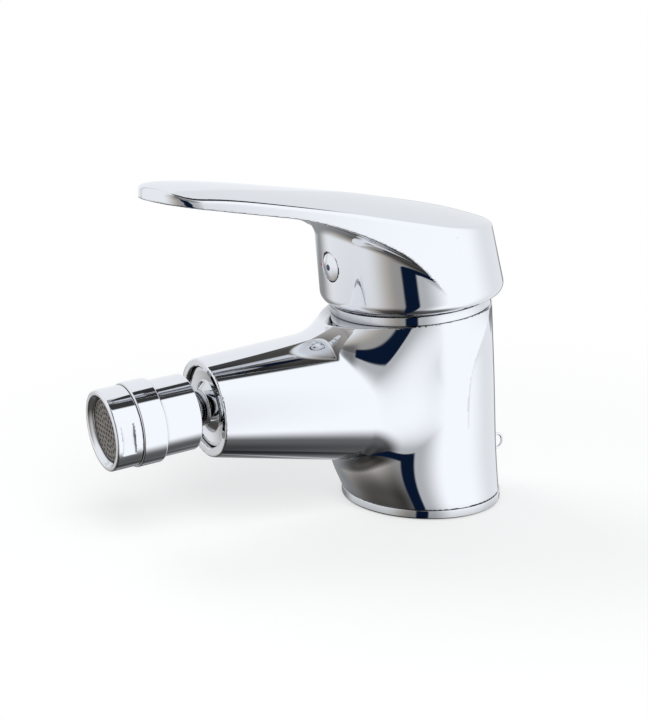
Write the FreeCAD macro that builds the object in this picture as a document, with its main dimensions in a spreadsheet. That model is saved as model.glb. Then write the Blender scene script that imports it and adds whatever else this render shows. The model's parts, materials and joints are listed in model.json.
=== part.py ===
"""Single-lever bidet mixer with a ball-jointed aerator, as an assembly of separate pieces.

Millimetres. Z is up and the spout points along -Y. The origin is the centre of the machined
underside that sits on the deck. The head (cartridge, cover ring and handle) leans forward with
the barrel, so its pieces are drawn upright and then turned by the lean.
"""
import FreeCAD, Part
import math
import os
import Sketcher
from FreeCAD import Placement, Rotation, Vector

SIZES = {
    # base and barrel
    "base_ring_radius": 26.0,
    "base_ring_height": 2.85,
    "spigot_radius": 21.5,
    "spigot_clearance": 0.15,
    "gasket_inner": 22.8,
    "gasket_outer": 24.8,
    "gasket_thickness": 1.2,
    "barrel_radius": 25.7,
    "barrel_top": 64.4,
    "head_lean": 6.2,
    "chin_height": 17.0,
    "chin_reach": 2.1,
    # waterways and ports
    "inlet_offset": 8.0,
    "inlet_front": 4.5,
    "inlet_tap_radius": 4.5,
    "inlet_tap_depth": 12.0,
    "inlet_channel_radius": 3.2,
    "stud_back": 11.5,
    "stud_tap_radius": 3.4,
    "stud_tap_depth": 15.0,
    "outlet_channel_radius": 3.6,
    "outlet_back": 8.5,
    "outlet_drop": 16.0,
    "waterway_low": 5.0,
    # spout
    "spout_reach": 79.5,
    "spout_height": 39.1,
    "spout_drop": 5.4,
    "spout_end_radius": 14.86,
    "spout_root_radius": 24.2,
    "spout_root_reach": 10.0,
    "spout_root_height": 37.4,
    "spout_blend": 9.0,
    "spout_recess_radius": 12.3,
    "spout_recess_depth": 3.0,
    "spout_thread_radius": 11.5,
    "spout_thread_depth": 10.0,
    "waterway_radius": 3.8,
    # cartridge stack, heights along the head axis
    "seat_height": 36.0,
    "cartridge_radius": 19.9,
    "cartridge_clearance": 0.1,
    "cartridge_base_height": 5.0,
    "seal_inner": 4.3,
    "seal_outer": 5.8,
    "seal_thickness": 1.6,
    "seal_clearance": 0.05,
    "fixed_disc_radius": 15.0,
    "moving_disc_radius": 14.4,
    "chamber_depth": 2.2,
    "chamber_front": 3.2,
    "chamber_radius": 11.0,
    "disc_thickness": 4.0,
    "disc_film": 0.02,
    "carrier_height": 7.0,
    "disc_shift": 2.2,
    "disc_seat_rim": 2.0,
    "shell_wall": 1.9,
    "shell_shoulder": 61.0,
    "neck_radius": 15.8,
    "neck_height": 71.0,
    "nut_radius": 22.2,
    "nut_clearance": 0.05,
    "nut_height": 5.0,
    "nut_notch_radius": 1.6,
    "nut_bore": 17.0,
    # head
    "cover_ring_radius": 25.46,
    "cover_ring_height": 2.9,
    "cover_ring_lip": 1.3,
    "ring_bevel": 0.3,
    "pivot_height": 66.0,
    "pivot_pin_radius": 1.9,
    "pin_clearance": 0.05,
    "guide_clearance": 0.1,
    "guide_height": 72.4,
    "guide_flange_radius": 17.5,
    "guide_slot_front": 8.0,
    "guide_slot_back": 6.6,
    "guide_slot_gap": 0.3,
    "pivot_pin_length": 26.0,
    "spindle_width": 8.0,
    "spindle_depth": 7.0,
    "spindle_ball_radius": 3.1,
    "spindle_ball_drop": 11.5,
    "spindle_stem_radius": 2.4,
    "spindle_ball_play": 0.3,
    "spindle_block_start": 61.5,
    "spindle_top": 86.0,
    "lift_angle": 22.0,
    "moving_gap": 0.35,
    "lift_room": 2.25,
    "skirt_wall": 2.6,
    "skirt_top": 75.0,
    # handle
    "cup_radius": 29.2,
    "cup_back_shift": 1.0,
    "cup_taper": 0.076,
    "cup_lean": 0.105,
    "cup_rim_rounding": 3.6,
    "cup_cavity_radius": 24.4,
    "cup_cavity_top": 87.0,
    "lever_tip_radius": 14.5,
    "lever_tip_reach": 72.5,
    "lever_crease_height": 112.0,
    "lever_flare": 0.1,
    "lever_blend": 3.0,
    "crease_rounding": 1.0,
    "boss_radius": 8.0,
    "boss_bottom": 77.5,
    "screw_height": 81.6,
    "screw_radius": 2.5,
    "screw_length": 8.0,
    "socket_clearance": 0.05,
    "web_width": 9.0,
    "button_seat": 26.0,
    "button_dome": 0.9,
    "mark_depth": 0.5,
    "blue_mark_radius": 0.8,
    "red_mark_radius": 0.6,
    "red_mark_offset": 5.6,
    "button_radius": 4.4,
    # swivel nozzle, distances along the spout axis from its end face
    "ball_radius": 7.8,
    "ball_reach": 11.8,
    "ball_bore": 4.4,
    "ball_neck": 5.4,
    "liner_thickness": 1.65,
    "liner_film": 0.05,
    "liner_half_angle": 8.5,
    "seal_angle_low": 25.0,
    "seal_angle_high": 38.0,
    "nipple_flange_radius": 12.1,
    "nipple_gasket_thickness": 0.6,
    "swivel_mouth": 0.85,
    "collar_start": 5.5,
    "collar_radius": 11.4,
    "collar_bore": 10.0,
    "collar_length": 11.4,
    "shell_radius": 12.5,
    "shell_length": 7.4,
    "shell_spigot": 1.2,
    "aerator_radius": 11.95,
    "aerator_length": 8.0,
    "aerator_thread": 10.9,
    "aerator_thread_length": 4.3,
    "aerator_gasket_thickness": 1.5,
    "outlet_hole": 7.0,
    "thread_clearance": 0.06,
    "insert_radius": 9.3,
    "insert_length": 9.0,
    "insert_hole_radius": 1.1,
    "insert_ring_pitch": 3.2,
    # chain eyelet
    "eyelet_height": 13.4,
    "eyelet_reach": 30.2,
    "eyelet_mean_radius": 2.5,
    "eyelet_wire": 0.45,
    "eyelet_shank_radius": 0.9,
    "eyelet_shank_length": 6.0,
}


class Size:
    """A length that knows both its number and the sheet formula that gives it."""

    def __init__(self, number, formula=None):
        self.number = float(number)
        self.formula = formula if formula is not None else repr(float(number))

    def join(self, other, sign, number):
        other = as_size(other)
        return Size(number(self.number, other.number), f"({self.formula} {sign} {other.formula})")

    def __add__(self, other):
        return self.join(other, "+", lambda a, b: a + b)

    def __radd__(self, other):
        return as_size(other) + self

    def __sub__(self, other):
        return self.join(other, "-", lambda a, b: a - b)

    def __rsub__(self, other):
        return as_size(other) - self

    def __mul__(self, other):
        return self.join(other, "*", lambda a, b: a * b)

    def __rmul__(self, other):
        return as_size(other) * self

    def __truediv__(self, other):
        return self.join(other, "/", lambda a, b: a / b)

    def __neg__(self):
        return as_size(0) - self


def as_size(value):
    return value if isinstance(value, Size) else Size(value)


def write_sheet(doc):
    """The driving dimensions, one row each: the name, and the value under that alias."""
    sheet = doc.addObject("Spreadsheet::Sheet", "Sizes")
    for row, (name, value) in enumerate(SIZES.items(), start=1):
        sheet.set(f"A{row}", name)
        sheet.set(f"B{row}", str(value))
        sheet.setAlias(f"B{row}", name)
    doc.recompute()
    return {name: Size(value, f"Sizes.{name}") for name, value in SIZES.items()}


doc = FreeCAD.newDocument("BidetMixer")
size = write_sheet(doc)
SUB_PARTS = []

ORIGIN = Size(0.0, "0")
HEAD = Placement(Vector(), Rotation(Vector(1, 0, 0), size["head_lean"].number))
SPOUT = Placement(
    Vector(0, -size["spout_reach"].number, size["spout_height"].number),
    Rotation(Vector(1, 0, 0), 90 + size["spout_drop"].number),
)
WORLD = Placement()


# Sketch and feature helpers

def keep(shape_object):
    """Counts a finished object as a sub-part."""
    SUB_PARTS.append(shape_object)
    return shape_object


def new_body(name, frame=WORLD):
    body = doc.addObject("PartDesign::Body", name)
    body.Label = name
    body.Placement = frame
    return body


def sketch_on(body, role, frame=WORLD, name="outline"):
    """A sketch on one of the body's own origin planes, moved by a frame given in body axes."""
    planes = [p for p in body.Origin.OriginFeatures if p.Role == role]
    sketch = body.newObject("Sketcher::SketchObject", f"{body.Name}_{name}")
    sketch.AttachmentSupport = (planes[0], [""])
    sketch.MapMode = "FlatFace"
    turn = {
        "XY_Plane": Rotation(),
        "XZ_Plane": Rotation(Vector(1, 0, 0), 90),
        "YZ_Plane": Rotation(Vector(1, 1, 1), 120),
    }[role]
    plane = Placement(Vector(), turn)
    sketch.AttachmentOffset = plane.inverse() * frame * plane
    return sketch


def dimension(sketch, kind, *references, value):
    """A dimension tied to the sheet."""
    row = sketch.addConstraint(Sketcher.Constraint(kind, *references, value.number))
    if value.formula != repr(value.number):
        sketch.setExpression(f"Constraints[{row}]", value.formula)


def pin_point(sketch, edge, end, x, y):
    """Holds one end of an edge at sketch coordinates x and y; None leaves that one free."""
    for axis, kind, value in ((-2, "DistanceX", x), (-1, "DistanceY", y)):
        if value is None:
            continue
        if abs(value.number) < 1e-9:
            sketch.addConstraint(Sketcher.Constraint("PointOnObject", edge, end, axis))
        else:
            dimension(sketch, kind, -1, 1, edge, end, value=value)


class OnBall:
    """A corner of a turned outline at a given radius on a ball centred on the axis."""

    def __init__(self, radius, centre, ball, side):
        self.r = as_size(radius)
        self.centre = as_size(centre)
        self.ball = as_size(ball)
        rise = math.sqrt(self.ball.number**2 - self.r.number**2)
        self.z = Size(self.centre.number + side * rise)


def corner_numbers(corner):
    if isinstance(corner, OnBall):
        return corner.r.number, corner.z.number
    return as_size(corner[0]).number, as_size(corner[1]).number


def outline_edges(sketch, corners):
    """Lines round a closed outline of (radius, height) corners; two OnBall corners in a row
    on the same ball are joined by its arc."""
    count = len(corners)
    for i, corner in enumerate(corners):
        after = corners[(i + 1) % count]
        x0, y0 = corner_numbers(corner)
        x1, y1 = corner_numbers(after)
        start, end = Vector(x0, y0, 0), Vector(x1, y1, 0)
        if isinstance(corner, OnBall) and isinstance(after, OnBall) and corner.ball.number == after.ball.number:
            centre = Vector(0, corner.centre.number, 0)
            radius = corner.ball.number
            turns = sorted([math.atan2(y0 - centre.y, x0), math.atan2(y1 - centre.y, x1)])
            circle = Part.Circle(centre, Vector(0, 0, 1), radius)
            sketch.addGeometry(Part.ArcOfCircle(circle, *turns), False)
        else:
            sketch.addGeometry(Part.LineSegment(start, end), False)
    ends = []
    for i in range(count):
        x0, y0 = corner_numbers(corners[i])
        geometry = sketch.Geometry[i]
        first = 1 if geometry.StartPoint.distanceToPoint(Vector(x0, y0, 0)) < 1e-6 else 2
        ends.append((first, 3 - first))
    for i in range(count):
        after = (i + 1) % count
        sketch.addConstraint(Sketcher.Constraint("Coincident", i, ends[i][1], after, ends[after][0]))
    for i, corner in enumerate(corners):
        if isinstance(corner, OnBall) and corner.ball.number - corner.r.number < 1e-9:
            pin_point(sketch, i, ends[i][0], None, corner.centre)
        elif isinstance(corner, OnBall):
            pin_point(sketch, i, ends[i][0], corner.r, None)
        else:
            pin_point(sketch, i, ends[i][0], as_size(corner[0]), as_size(corner[1]))
        if sketch.Geometry[i].TypeId == "Part::GeomArcOfCircle":
            pin_point(sketch, i, 3, ORIGIN, corner.centre)
            dimension(sketch, "Radius", i, value=corner.ball)


def turn_about_axis(body, corners, frame=WORLD, cut=False, name="outline"):
    """Turns an outline about the frame's Z axis, adding to the body or cutting it."""
    sketch = sketch_on(body, "XZ_Plane", frame, name)
    outline_edges(sketch, corners)
    kind = "PartDesign::Groove" if cut else "PartDesign::Revolution"
    feature = body.newObject(kind, f"{body.Name}_{'groove' if cut else 'turning'}_{name}")
    feature.Profile = sketch
    feature.ReferenceAxis = (sketch, ["V_Axis"])
    feature.Angle = 360.0
    return feature


def turned(name, frame, corners):
    """A sub-part that is one body of revolution about the frame's Z axis."""
    body = new_body(name, frame)
    turn_about_axis(body, corners)
    return keep(body)


def tube_corners(inner, outer, low, high):
    return [(inner, low), (outer, low), (outer, high), (inner, high)]


def rod_corners(radius, low, high):
    return tube_corners(ORIGIN, radius, low, high)


def circle_sketch(body, frame, centre_x, centre_y, radius, name, plane="XY_Plane"):
    """A circle on one of the frame's planes."""
    sketch = sketch_on(body, plane, frame, name)
    centre = Vector(as_size(centre_x).number, as_size(centre_y).number, 0)
    sketch.addGeometry(Part.Circle(centre, Vector(0, 0, 1), radius.number), False)
    pin_point(sketch, 0, 3, as_size(centre_x), as_size(centre_y))
    dimension(sketch, "Radius", 0, value=radius)
    return sketch


def polygon_sketch(body, frame, corners, name):
    sketch = sketch_on(body, "XY_Plane", frame, name)
    outline_edges(sketch, corners)
    return sketch


def rectangle_sketch(body, frame, x0, x1, y0, y1, name):
    return polygon_sketch(body, frame, [(x0, y0), (x1, y0), (x1, y1), (x0, y1)], name)


def hexagon_sketch(body, frame, radius, name):
    turns = [math.radians(60 * i) for i in range(6)]
    corners = [(radius * math.cos(turn), radius * math.sin(turn)) for turn in turns]
    return polygon_sketch(body, frame, corners, name)


def push(body, sketch, length, cut, name):
    """Pads or cuts a sketch along its frame's +Z."""
    kind = "PartDesign::Pocket" if cut else "PartDesign::Pad"
    doc.recompute()
    before = body.Tip.Shape.Volume
    feature = body.newObject(kind, f"{body.Name}_{'pocket' if cut else 'pad'}_{name}")
    feature.Profile = sketch
    feature.Reversed = cut
    feature.Length = length.number
    feature.setExpression("Length", length.formula)
    doc.recompute()
    change = feature.Shape.Volume - before
    if (change >= 0) == cut:
        raise RuntimeError(f"{feature.Name} changed the volume by {change}")
    return feature


def at(x=0.0, y=0.0, z=0.0):
    return Placement(Vector(x, y, z), Rotation())


def drill(body, frame, radius, depth, name):
    """A plain hole from the frame's origin along its +Z."""
    corners = rod_corners(radius, ORIGIN, as_size(depth))
    return turn_about_axis(body, corners, frame, cut=True, name=name)


def round_edges(body, radius, wanted, name):
    """Fillets the edges of the body's tip that a test picks."""
    doc.recompute()
    tip = body.Tip
    names = [f"Edge{i}" for i, edge in enumerate(tip.Shape.Edges, start=1) if wanted(edge)]
    fillet = body.newObject("PartDesign::Fillet", f"{body.Name}_{name}")
    fillet.Base = (tip, names)
    fillet.Radius = radius.number
    if radius.formula != repr(radius.number):
        fillet.setExpression("Radius", radius.formula)
    return fillet


# Base

def make_base_ring():
    inner = size["spigot_radius"] + size["spigot_clearance"]
    outer = size["base_ring_radius"]
    top = size["base_ring_height"]
    groove = size["gasket_thickness"]
    bevel = size["ring_bevel"]
    body = new_body("base_ring")
    turn_about_axis(body, [
        (inner, ORIGIN), (size["gasket_inner"], ORIGIN), (size["gasket_inner"], groove),
        (size["gasket_outer"], groove), (size["gasket_outer"], ORIGIN), (outer - 0.6, ORIGIN),
        (outer, Size(0.6)), (outer, top - bevel), (outer - bevel, top), (inner, top),
    ])
    return keep(body)


def make_base_gasket():
    turned("base_gasket", WORLD, tube_corners(
        size["gasket_inner"], size["gasket_outer"], ORIGIN, size["gasket_thickness"]))


# Body casting

def barrel_section(body, frame, half_width, half_depth, shift, name):
    sketch = sketch_on(body, "XY_Plane", frame, name)
    centre = Vector(0, -shift, 0)
    ellipse = Part.Ellipse(centre + Vector(0, half_depth, 0), centre + Vector(half_width, 0, 0), centre)
    sketch.addGeometry(ellipse, False)
    return sketch


def loft(body, sections, name):
    feature = body.newObject("PartDesign::AdditiveLoft", f"{body.Name}_{name}")
    feature.Profile = sections[0]
    feature.Sections = sections[1:]
    return feature


def make_body_casting():
    body = new_body("body_casting")
    radius = size["barrel_radius"]
    lean = math.tan(math.radians(size["head_lean"].number))
    low = size["base_ring_height"].number
    chin = size["chin_height"].number
    sections = [
        circle_sketch(body, at(z=low), 0, Size(-low * lean), radius, "foot"),
        barrel_section(body, at(z=chin), radius.number, radius.number + size["chin_reach"].number,
                       chin * lean + size["chin_reach"].number, "chin"),
    ]
    top = size["barrel_top"].number
    for number, height in enumerate((top - 20, top - 11, top - 2, top + 8)):
        sections.append(circle_sketch(body, HEAD * at(z=height), 0, 0, radius, f"barrel{number}"))
    loft(body, sections, "barrel")
    tip = SPOUT.Base
    root = Vector(0, -size["spout_root_reach"].number, size["spout_root_height"].number)
    length = (root - tip).Length
    spare = 4.0
    widening = (size["spout_root_radius"] - size["spout_end_radius"]) / length
    turn_about_axis(body, [
        (ORIGIN, Size(-spare)), (size["spout_end_radius"] - widening * spare, Size(-spare)),
        (size["spout_root_radius"], Size(length)), (ORIGIN, Size(length)),
    ], Placement(tip, Rotation(Vector(0, 0, 1), root - tip)), name="spout")
    doc.recompute()
    barrel_front = -radius.number * 1.35

    def joins_spout(edge):
        box = edge.BoundBox
        inside = box.YMin > barrel_front and box.YMax < 10
        return inside and box.XLength > radius.number and box.ZLength > radius.number

    round_edges(body, size["spout_blend"], joins_spout, "spout_blend")
    doc.recompute()
    above_ring = rod_corners(Size(60), size["barrel_top"], size["barrel_top"] + 40)
    turn_about_axis(body, above_ring, HEAD, cut=True, name="top_face")
    spigot = rod_corners(size["spigot_radius"], ORIGIN, size["base_ring_height"] + 1)
    turn_about_axis(body, spigot, name="spigot")
    bore = size["cartridge_radius"] + size["cartridge_clearance"]
    nut_bore = size["nut_radius"] + size["nut_clearance"]
    turn_about_axis(body, [
        (ORIGIN, size["seat_height"]), (bore, size["seat_height"]), (bore, size["shell_shoulder"]),
        (nut_bore, size["shell_shoulder"]), (nut_bore, size["barrel_top"] + 1),
        (ORIGIN, size["barrel_top"] + 1),
    ], HEAD, cut=True, name="cartridge_bore")
    turn_about_axis(body, rod_corners(Size(30), ORIGIN, Size(9)), SPOUT, cut=True, name="spout_face")
    recess = -size["spout_recess_depth"]
    thread_end = recess - size["spout_thread_depth"]
    turn_about_axis(body, [
        (ORIGIN, Size(1)), (size["spout_recess_radius"], Size(1)), (size["spout_recess_radius"], recess),
        (size["spout_thread_radius"], recess), (size["spout_thread_radius"], thread_end),
        (ORIGIN, thread_end),
    ], SPOUT, cut=True, name="spout_bore")
    for side in (-1, 1):
        x = side * size["inlet_offset"].number
        y = -size["inlet_front"].number
        drill(body, at(x, y, -1), size["inlet_tap_radius"], size["inlet_tap_depth"] + 1, f"port{side + 1}")
        drill(body, at(x, y, 0), size["inlet_channel_radius"], size["seat_height"] + 1, f"inlet{side + 1}")
    drill(body, at(0, size["stud_back"].number, -1), size["stud_tap_radius"],
          size["stud_tap_depth"] + 1, "stud")
    riser_foot = size["seat_height"] - size["outlet_drop"]
    riser = HEAD * at(0, size["outlet_back"].number, riser_foot.number)
    drill(body, riser, size["outlet_channel_radius"], size["outlet_drop"] + 1, "riser")
    start = SPOUT.multVec(Vector(0, -size["waterway_low"].number, thread_end.number + 1))
    foot = riser.multVec(Vector(0, 0, size["outlet_channel_radius"].number / 2))
    along = Placement(start, Rotation(Vector(0, 0, 1), foot - start))
    drill(body, along, size["waterway_radius"], Size((foot - start).Length), "waterway")
    drill(body, eyelet_frame(), size["eyelet_shank_radius"], size["eyelet_shank_length"], "eyelet_hole")
    return keep(body)


def eyelet_frame():
    """At the ring's inner edge behind the barrel, with Z running forward into it."""
    reach = size["eyelet_reach"] - size["eyelet_mean_radius"]
    return Placement(
        Vector(0, reach.number, size["eyelet_height"].number), Rotation(Vector(1, 0, 0), 90))


def make_chain_eyelet():
    body = new_body("chain_eyelet")
    centre = Vector(0, size["eyelet_reach"].number, size["eyelet_height"].number)
    ring = Placement(centre, Rotation(Vector(0, 1, 0), 90))
    wire = circle_sketch(body, ring, size["eyelet_mean_radius"], 0, size["eyelet_wire"], "wire", "XZ_Plane")
    torus = body.newObject("PartDesign::Revolution", "eyelet_ring")
    torus.Profile = wire
    torus.ReferenceAxis = (wire, ["V_Axis"])
    torus.Angle = 360.0
    shank = rod_corners(size["eyelet_shank_radius"], ORIGIN, size["eyelet_shank_length"])
    turn_about_axis(body, shank, eyelet_frame(), name="shank")
    return keep(body)


# Cartridge stack, all about the head axis

def stack_heights():
    """Heights of the cartridge's joints along the head axis, from the seat up."""
    base_top = size["seat_height"] + size["cartridge_base_height"]
    fixed_top = base_top + size["disc_thickness"]
    moving_low = fixed_top + size["disc_film"]
    moving_top = moving_low + size["disc_thickness"]
    carrier_top = moving_top + size["carrier_height"]
    return base_top, fixed_top, moving_low, moving_top, carrier_top


def port_places():
    """Where the two inlets and the outlet meet the seat, across the head axis."""
    seat = HEAD.inverse().multVec(Vector(0, -size["inlet_front"].number, size["seat_height"].number))
    inlet = size["inlet_offset"].number
    return [
        (-inlet, seat.y, size["inlet_channel_radius"]),
        (inlet, seat.y, size["inlet_channel_radius"]),
        (0.0, size["outlet_back"].number, size["outlet_channel_radius"]),
    ]


def make_cartridge_base():
    base_top = stack_heights()[0]
    seat = size["seat_height"]
    outer = size["cartridge_radius"]
    rim_outer = outer - size["shell_wall"] - size["cartridge_clearance"]
    rim_inner = size["fixed_disc_radius"] + size["cartridge_clearance"]
    rim_top = base_top + size["disc_seat_rim"]
    body = new_body("cartridge_base", HEAD)
    turn_about_axis(body, [
        (ORIGIN, seat), (outer, seat), (outer, base_top), (rim_outer, base_top),
        (rim_outer, rim_top), (rim_inner, rim_top), (rim_inner, base_top), (ORIGIN, base_top),
    ])
    seal = size["seal_outer"] + size["seal_clearance"]
    for i, (x, y, radius) in enumerate(port_places()):
        drill(body, at(x, y, seat.number - 1), radius, size["cartridge_base_height"] + 2, f"port{i}")
        drill(body, at(x, y, seat.number - 1), seal, size["seal_thickness"] + 1, f"seal_seat{i}")
    return keep(body)


def make_port_seals():
    seals = []
    for i, (x, y, radius) in enumerate(port_places()):
        body = new_body(f"port_seal_{i}", HEAD * at(x, y, size["seat_height"].number))
        turn_about_axis(body, tube_corners(size["seal_inner"], size["seal_outer"], ORIGIN,
                                           size["seal_thickness"]))
        seals.append(body)
    group = doc.addObject("Part::Compound", "port_seals")
    group.Label = "port_seals"
    group.Links = seals
    return keep(group)


def make_fixed_disc():
    base_top, fixed_top = stack_heights()[:2]
    body = new_body("fixed_disc", HEAD)
    turn_about_axis(body, rod_corners(size["fixed_disc_radius"], base_top, fixed_top))
    for i, (x, y, radius) in enumerate(port_places()):
        drill(body, at(x, y, base_top.number - 1), radius, size["disc_thickness"] + 2, f"port{i}")
    return keep(body)


def segment_sketch(body, frame, radius, front, name):
    """A circle's part behind a straight chord."""
    sketch = sketch_on(body, "XY_Plane", frame, name)
    half = math.sqrt(radius.number**2 - front.number**2)
    left, right = Vector(-half, front.number, 0), Vector(half, front.number, 0)
    turn = math.asin(front.number / radius.number)
    circle = Part.Circle(Vector(), Vector(0, 0, 1), radius.number)
    sketch.addGeometry(Part.ArcOfCircle(circle, turn, math.pi - turn), False)
    sketch.addGeometry(Part.LineSegment(left, right), False)
    sketch.addConstraint(Sketcher.Constraint("Coincident", 0, 2, 1, 1))
    sketch.addConstraint(Sketcher.Constraint("Coincident", 0, 1, 1, 2))
    sketch.addConstraint(Sketcher.Constraint("Coincident", 0, 3, -1, 1))
    sketch.addConstraint(Sketcher.Constraint("Horizontal", 1))
    dimension(sketch, "Radius", 0, value=radius)
    pin_point(sketch, 1, 1, None, front)
    return sketch


def make_moving_disc():
    moving_low, moving_top = stack_heights()[2:4]
    frame = HEAD * at(y=size["disc_shift"].number)
    body = new_body("moving_disc", frame)
    turn_about_axis(body, rod_corners(size["moving_disc_radius"], moving_low, moving_top))
    chamber = segment_sketch(body, at(y=0, z=moving_low.number), size["chamber_radius"],
                             size["chamber_front"] - size["disc_shift"], "chamber")
    push(body, chamber, size["chamber_depth"], cut=True, name="chamber")
    return keep(body)


def make_disc_carrier():
    moving_top, carrier_top = stack_heights()[3:]
    shift = size["disc_shift"].number
    body = new_body("disc_carrier", HEAD * at(y=shift))
    turn_about_axis(body, rod_corners(size["moving_disc_radius"], moving_top, carrier_top))
    play = size["spindle_ball_play"]
    pocket_floor = size["pivot_height"] - size["spindle_ball_drop"] - size["spindle_ball_radius"] - play
    pocket = size["spindle_ball_radius"] + play
    drill(body, at(y=-shift, z=pocket_floor.number), pocket, carrier_top - pocket_floor + 1, "ball_pocket")
    return keep(body)


def make_cartridge_shell():
    base_top = stack_heights()[0]
    outer = size["cartridge_radius"]
    inner = outer - size["shell_wall"]
    neck = size["neck_radius"]
    neck_inner = neck - size["shell_wall"]
    shoulder = size["shell_shoulder"]
    turned("cartridge_shell", HEAD, [
        (inner, base_top), (outer, base_top), (outer, shoulder), (neck, shoulder),
        (neck, size["neck_height"]), (neck_inner, size["neck_height"]),
        (neck_inner, shoulder - size["shell_wall"]), (inner, shoulder - size["shell_wall"]),
    ])


def make_retaining_nut():
    low = size["shell_shoulder"]
    body = new_body("retaining_nut", HEAD)
    turn_about_axis(body, tube_corners(size["nut_bore"], size["nut_radius"], low, low + size["nut_height"]))
    notch_frame = at(z=low.number + size["nut_height"].number / 2)
    notch = circle_sketch(body, notch_frame, size["nut_bore"], 0, size["nut_notch_radius"], "notch")
    first = push(body, notch, size["nut_height"], cut=True, name="notch")
    pattern = body.newObject("PartDesign::PolarPattern", "retaining_nut_notches")
    pattern.Originals = [first]
    pattern.Axis = (notch, ["N_Axis"])
    pattern.Angle = 360.0
    pattern.Occurrences = 6
    body.Tip = pattern
    return keep(body)


def make_cover_ring():
    low = size["barrel_top"]
    top = low + size["cover_ring_height"]
    lip = top - size["cover_ring_lip"]
    inner = size["nut_radius"] + size["nut_clearance"]
    outer = size["cover_ring_radius"]
    bevel = size["ring_bevel"]
    body = new_body("cover_ring", HEAD)
    turn_about_axis(body, [
        (inner, low), (outer - bevel, low), (outer, low + bevel), (outer, top - bevel),
        (outer - bevel, top), (size["nut_bore"], top), (size["nut_bore"], lip), (inner, lip),
    ])
    return keep(body)


# Lever mechanism

def make_spindle_guide():
    carrier_top = stack_heights()[4]
    outer = size["neck_radius"] - size["shell_wall"] - size["guide_clearance"]
    flange = size["guide_flange_radius"]
    flange_top = size["shell_shoulder"] - size["shell_wall"] - size["pin_clearance"]
    flange_low = carrier_top + size["spindle_ball_play"]
    top = size["guide_height"]
    body = new_body("spindle_guide", HEAD)
    turn_about_axis(body, [
        (ORIGIN, flange_low), (flange, flange_low), (flange, flange_top), (outer, flange_top),
        (outer, top), (ORIGIN, top),
    ])
    half = size["spindle_width"] / 2 + size["guide_slot_gap"]
    slot = rectangle_sketch(body, at(z=flange_low.number - 1), -half, half, -size["guide_slot_front"],
                            size["guide_slot_back"], "slot")
    push(body, slot, top - flange_low + 2, cut=True, name="slot")
    drill(body, pin_frame(-20), size["pivot_pin_radius"], Size(40), "pin_hole")
    return keep(body)


def pin_frame(start):
    """On the pivot's line across the head, with Z along +X."""
    return Placement(Vector(start, 0, size["pivot_height"].number), Rotation(Vector(0, 1, 0), 90))


def make_pivot_pin():
    half = size["pivot_pin_length"] / 2
    turned("pivot_pin", HEAD * pin_frame(0), rod_corners(size["pivot_pin_radius"], -half, half))


def make_spindle():
    centre = size["pivot_height"] - size["spindle_ball_drop"]
    ball = size["spindle_ball_radius"]
    stem = size["spindle_stem_radius"]
    start = size["spindle_block_start"]
    foot = OnBall(Size(0.8), centre, ball, -1)
    body = new_body("spindle", HEAD)
    turn_about_axis(body, [
        (ORIGIN, foot.z), foot, OnBall(stem, centre, ball, 1), (stem, start + 1), (ORIGIN, start + 1),
    ])
    half_x = size["spindle_width"] / 2
    half_y = size["spindle_depth"] / 2
    block = rectangle_sketch(body, at(z=start.number), -half_x, half_x, -half_y, half_y, "block")
    push(body, block, size["spindle_top"] - start, cut=False, name="block")
    pin = size["pivot_pin_radius"] + size["pin_clearance"]
    drill(body, pin_frame(-10), pin, Size(20), "pin_hole")
    return keep(body)


def outward_frame(height):
    """At a height on the head axis, with Z pointing to the front."""
    return Placement(Vector(0, 0, height.number), Rotation(Vector(1, 0, 0), 90))


def make_set_screw():
    face = size["spindle_depth"] / 2
    frame = HEAD * outward_frame(size["screw_height"])
    body = new_body("set_screw", frame)
    end = face + size["screw_length"]
    turn_about_axis(body, [
        (ORIGIN, face), (size["screw_radius"] * 0.6, face), (size["screw_radius"], face + 1),
        (size["screw_radius"], end), (ORIGIN, end),
    ])
    key = hexagon_sketch(body, at(z=end.number - 3), size["screw_radius"] * 0.55, "key")
    push(body, key, Size(4), cut=True, name="key")
    return keep(body)


def make_index_button():
    frame = HEAD * outward_frame(size["screw_height"])
    radius = size["button_radius"]
    seat = size["button_seat"]
    rim = cup_front(size["screw_height"]) - size["button_dome"] / 2
    dome = size["button_dome"].number
    ball = Size((radius.number**2 + dome**2) / (2 * dome))
    centre = Size(rim.number + dome - ball.number)
    body = new_body("index_button", frame)
    turn_about_axis(body, [
        (ORIGIN, seat), (radius, seat), OnBall(radius, centre, ball, 1), OnBall(0, centre, ball, 1),
    ])
    depth = size["mark_depth"]
    drill(body, at(z=rim.number + dome - depth.number), size["blue_mark_radius"], depth + 1, "mark_seat")
    return keep(body)


def make_blue_mark():
    low = cup_front(size["screw_height"]) + size["button_dome"] / 2 - size["mark_depth"]
    frame = HEAD * outward_frame(size["screw_height"])
    turned("blue_mark", frame, rod_corners(size["blue_mark_radius"], low, low + size["mark_depth"]))


def red_mark_frame():
    """On the handle's front beside the button, with Z pointing out of the surface."""
    radius, centre = cup_circle(size["screw_height"].number)
    turn = math.asin(size["red_mark_offset"].number / radius)
    spot = Vector(-radius * math.sin(turn), centre - radius * math.cos(turn), size["screw_height"].number)
    return Placement(spot, Rotation(Vector(0, 0, 1), Vector(-math.sin(turn), -math.cos(turn), 0)))


def make_red_mark():
    turned("red_mark", HEAD * red_mark_frame(), rod_corners(
        size["red_mark_radius"], -size["mark_depth"], ORIGIN))


# Handle

def handle_rim():
    """The height of the handle's lower rim, just clear of the cover ring."""
    return size["barrel_top"] + size["cover_ring_height"] + size["moving_gap"]


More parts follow.
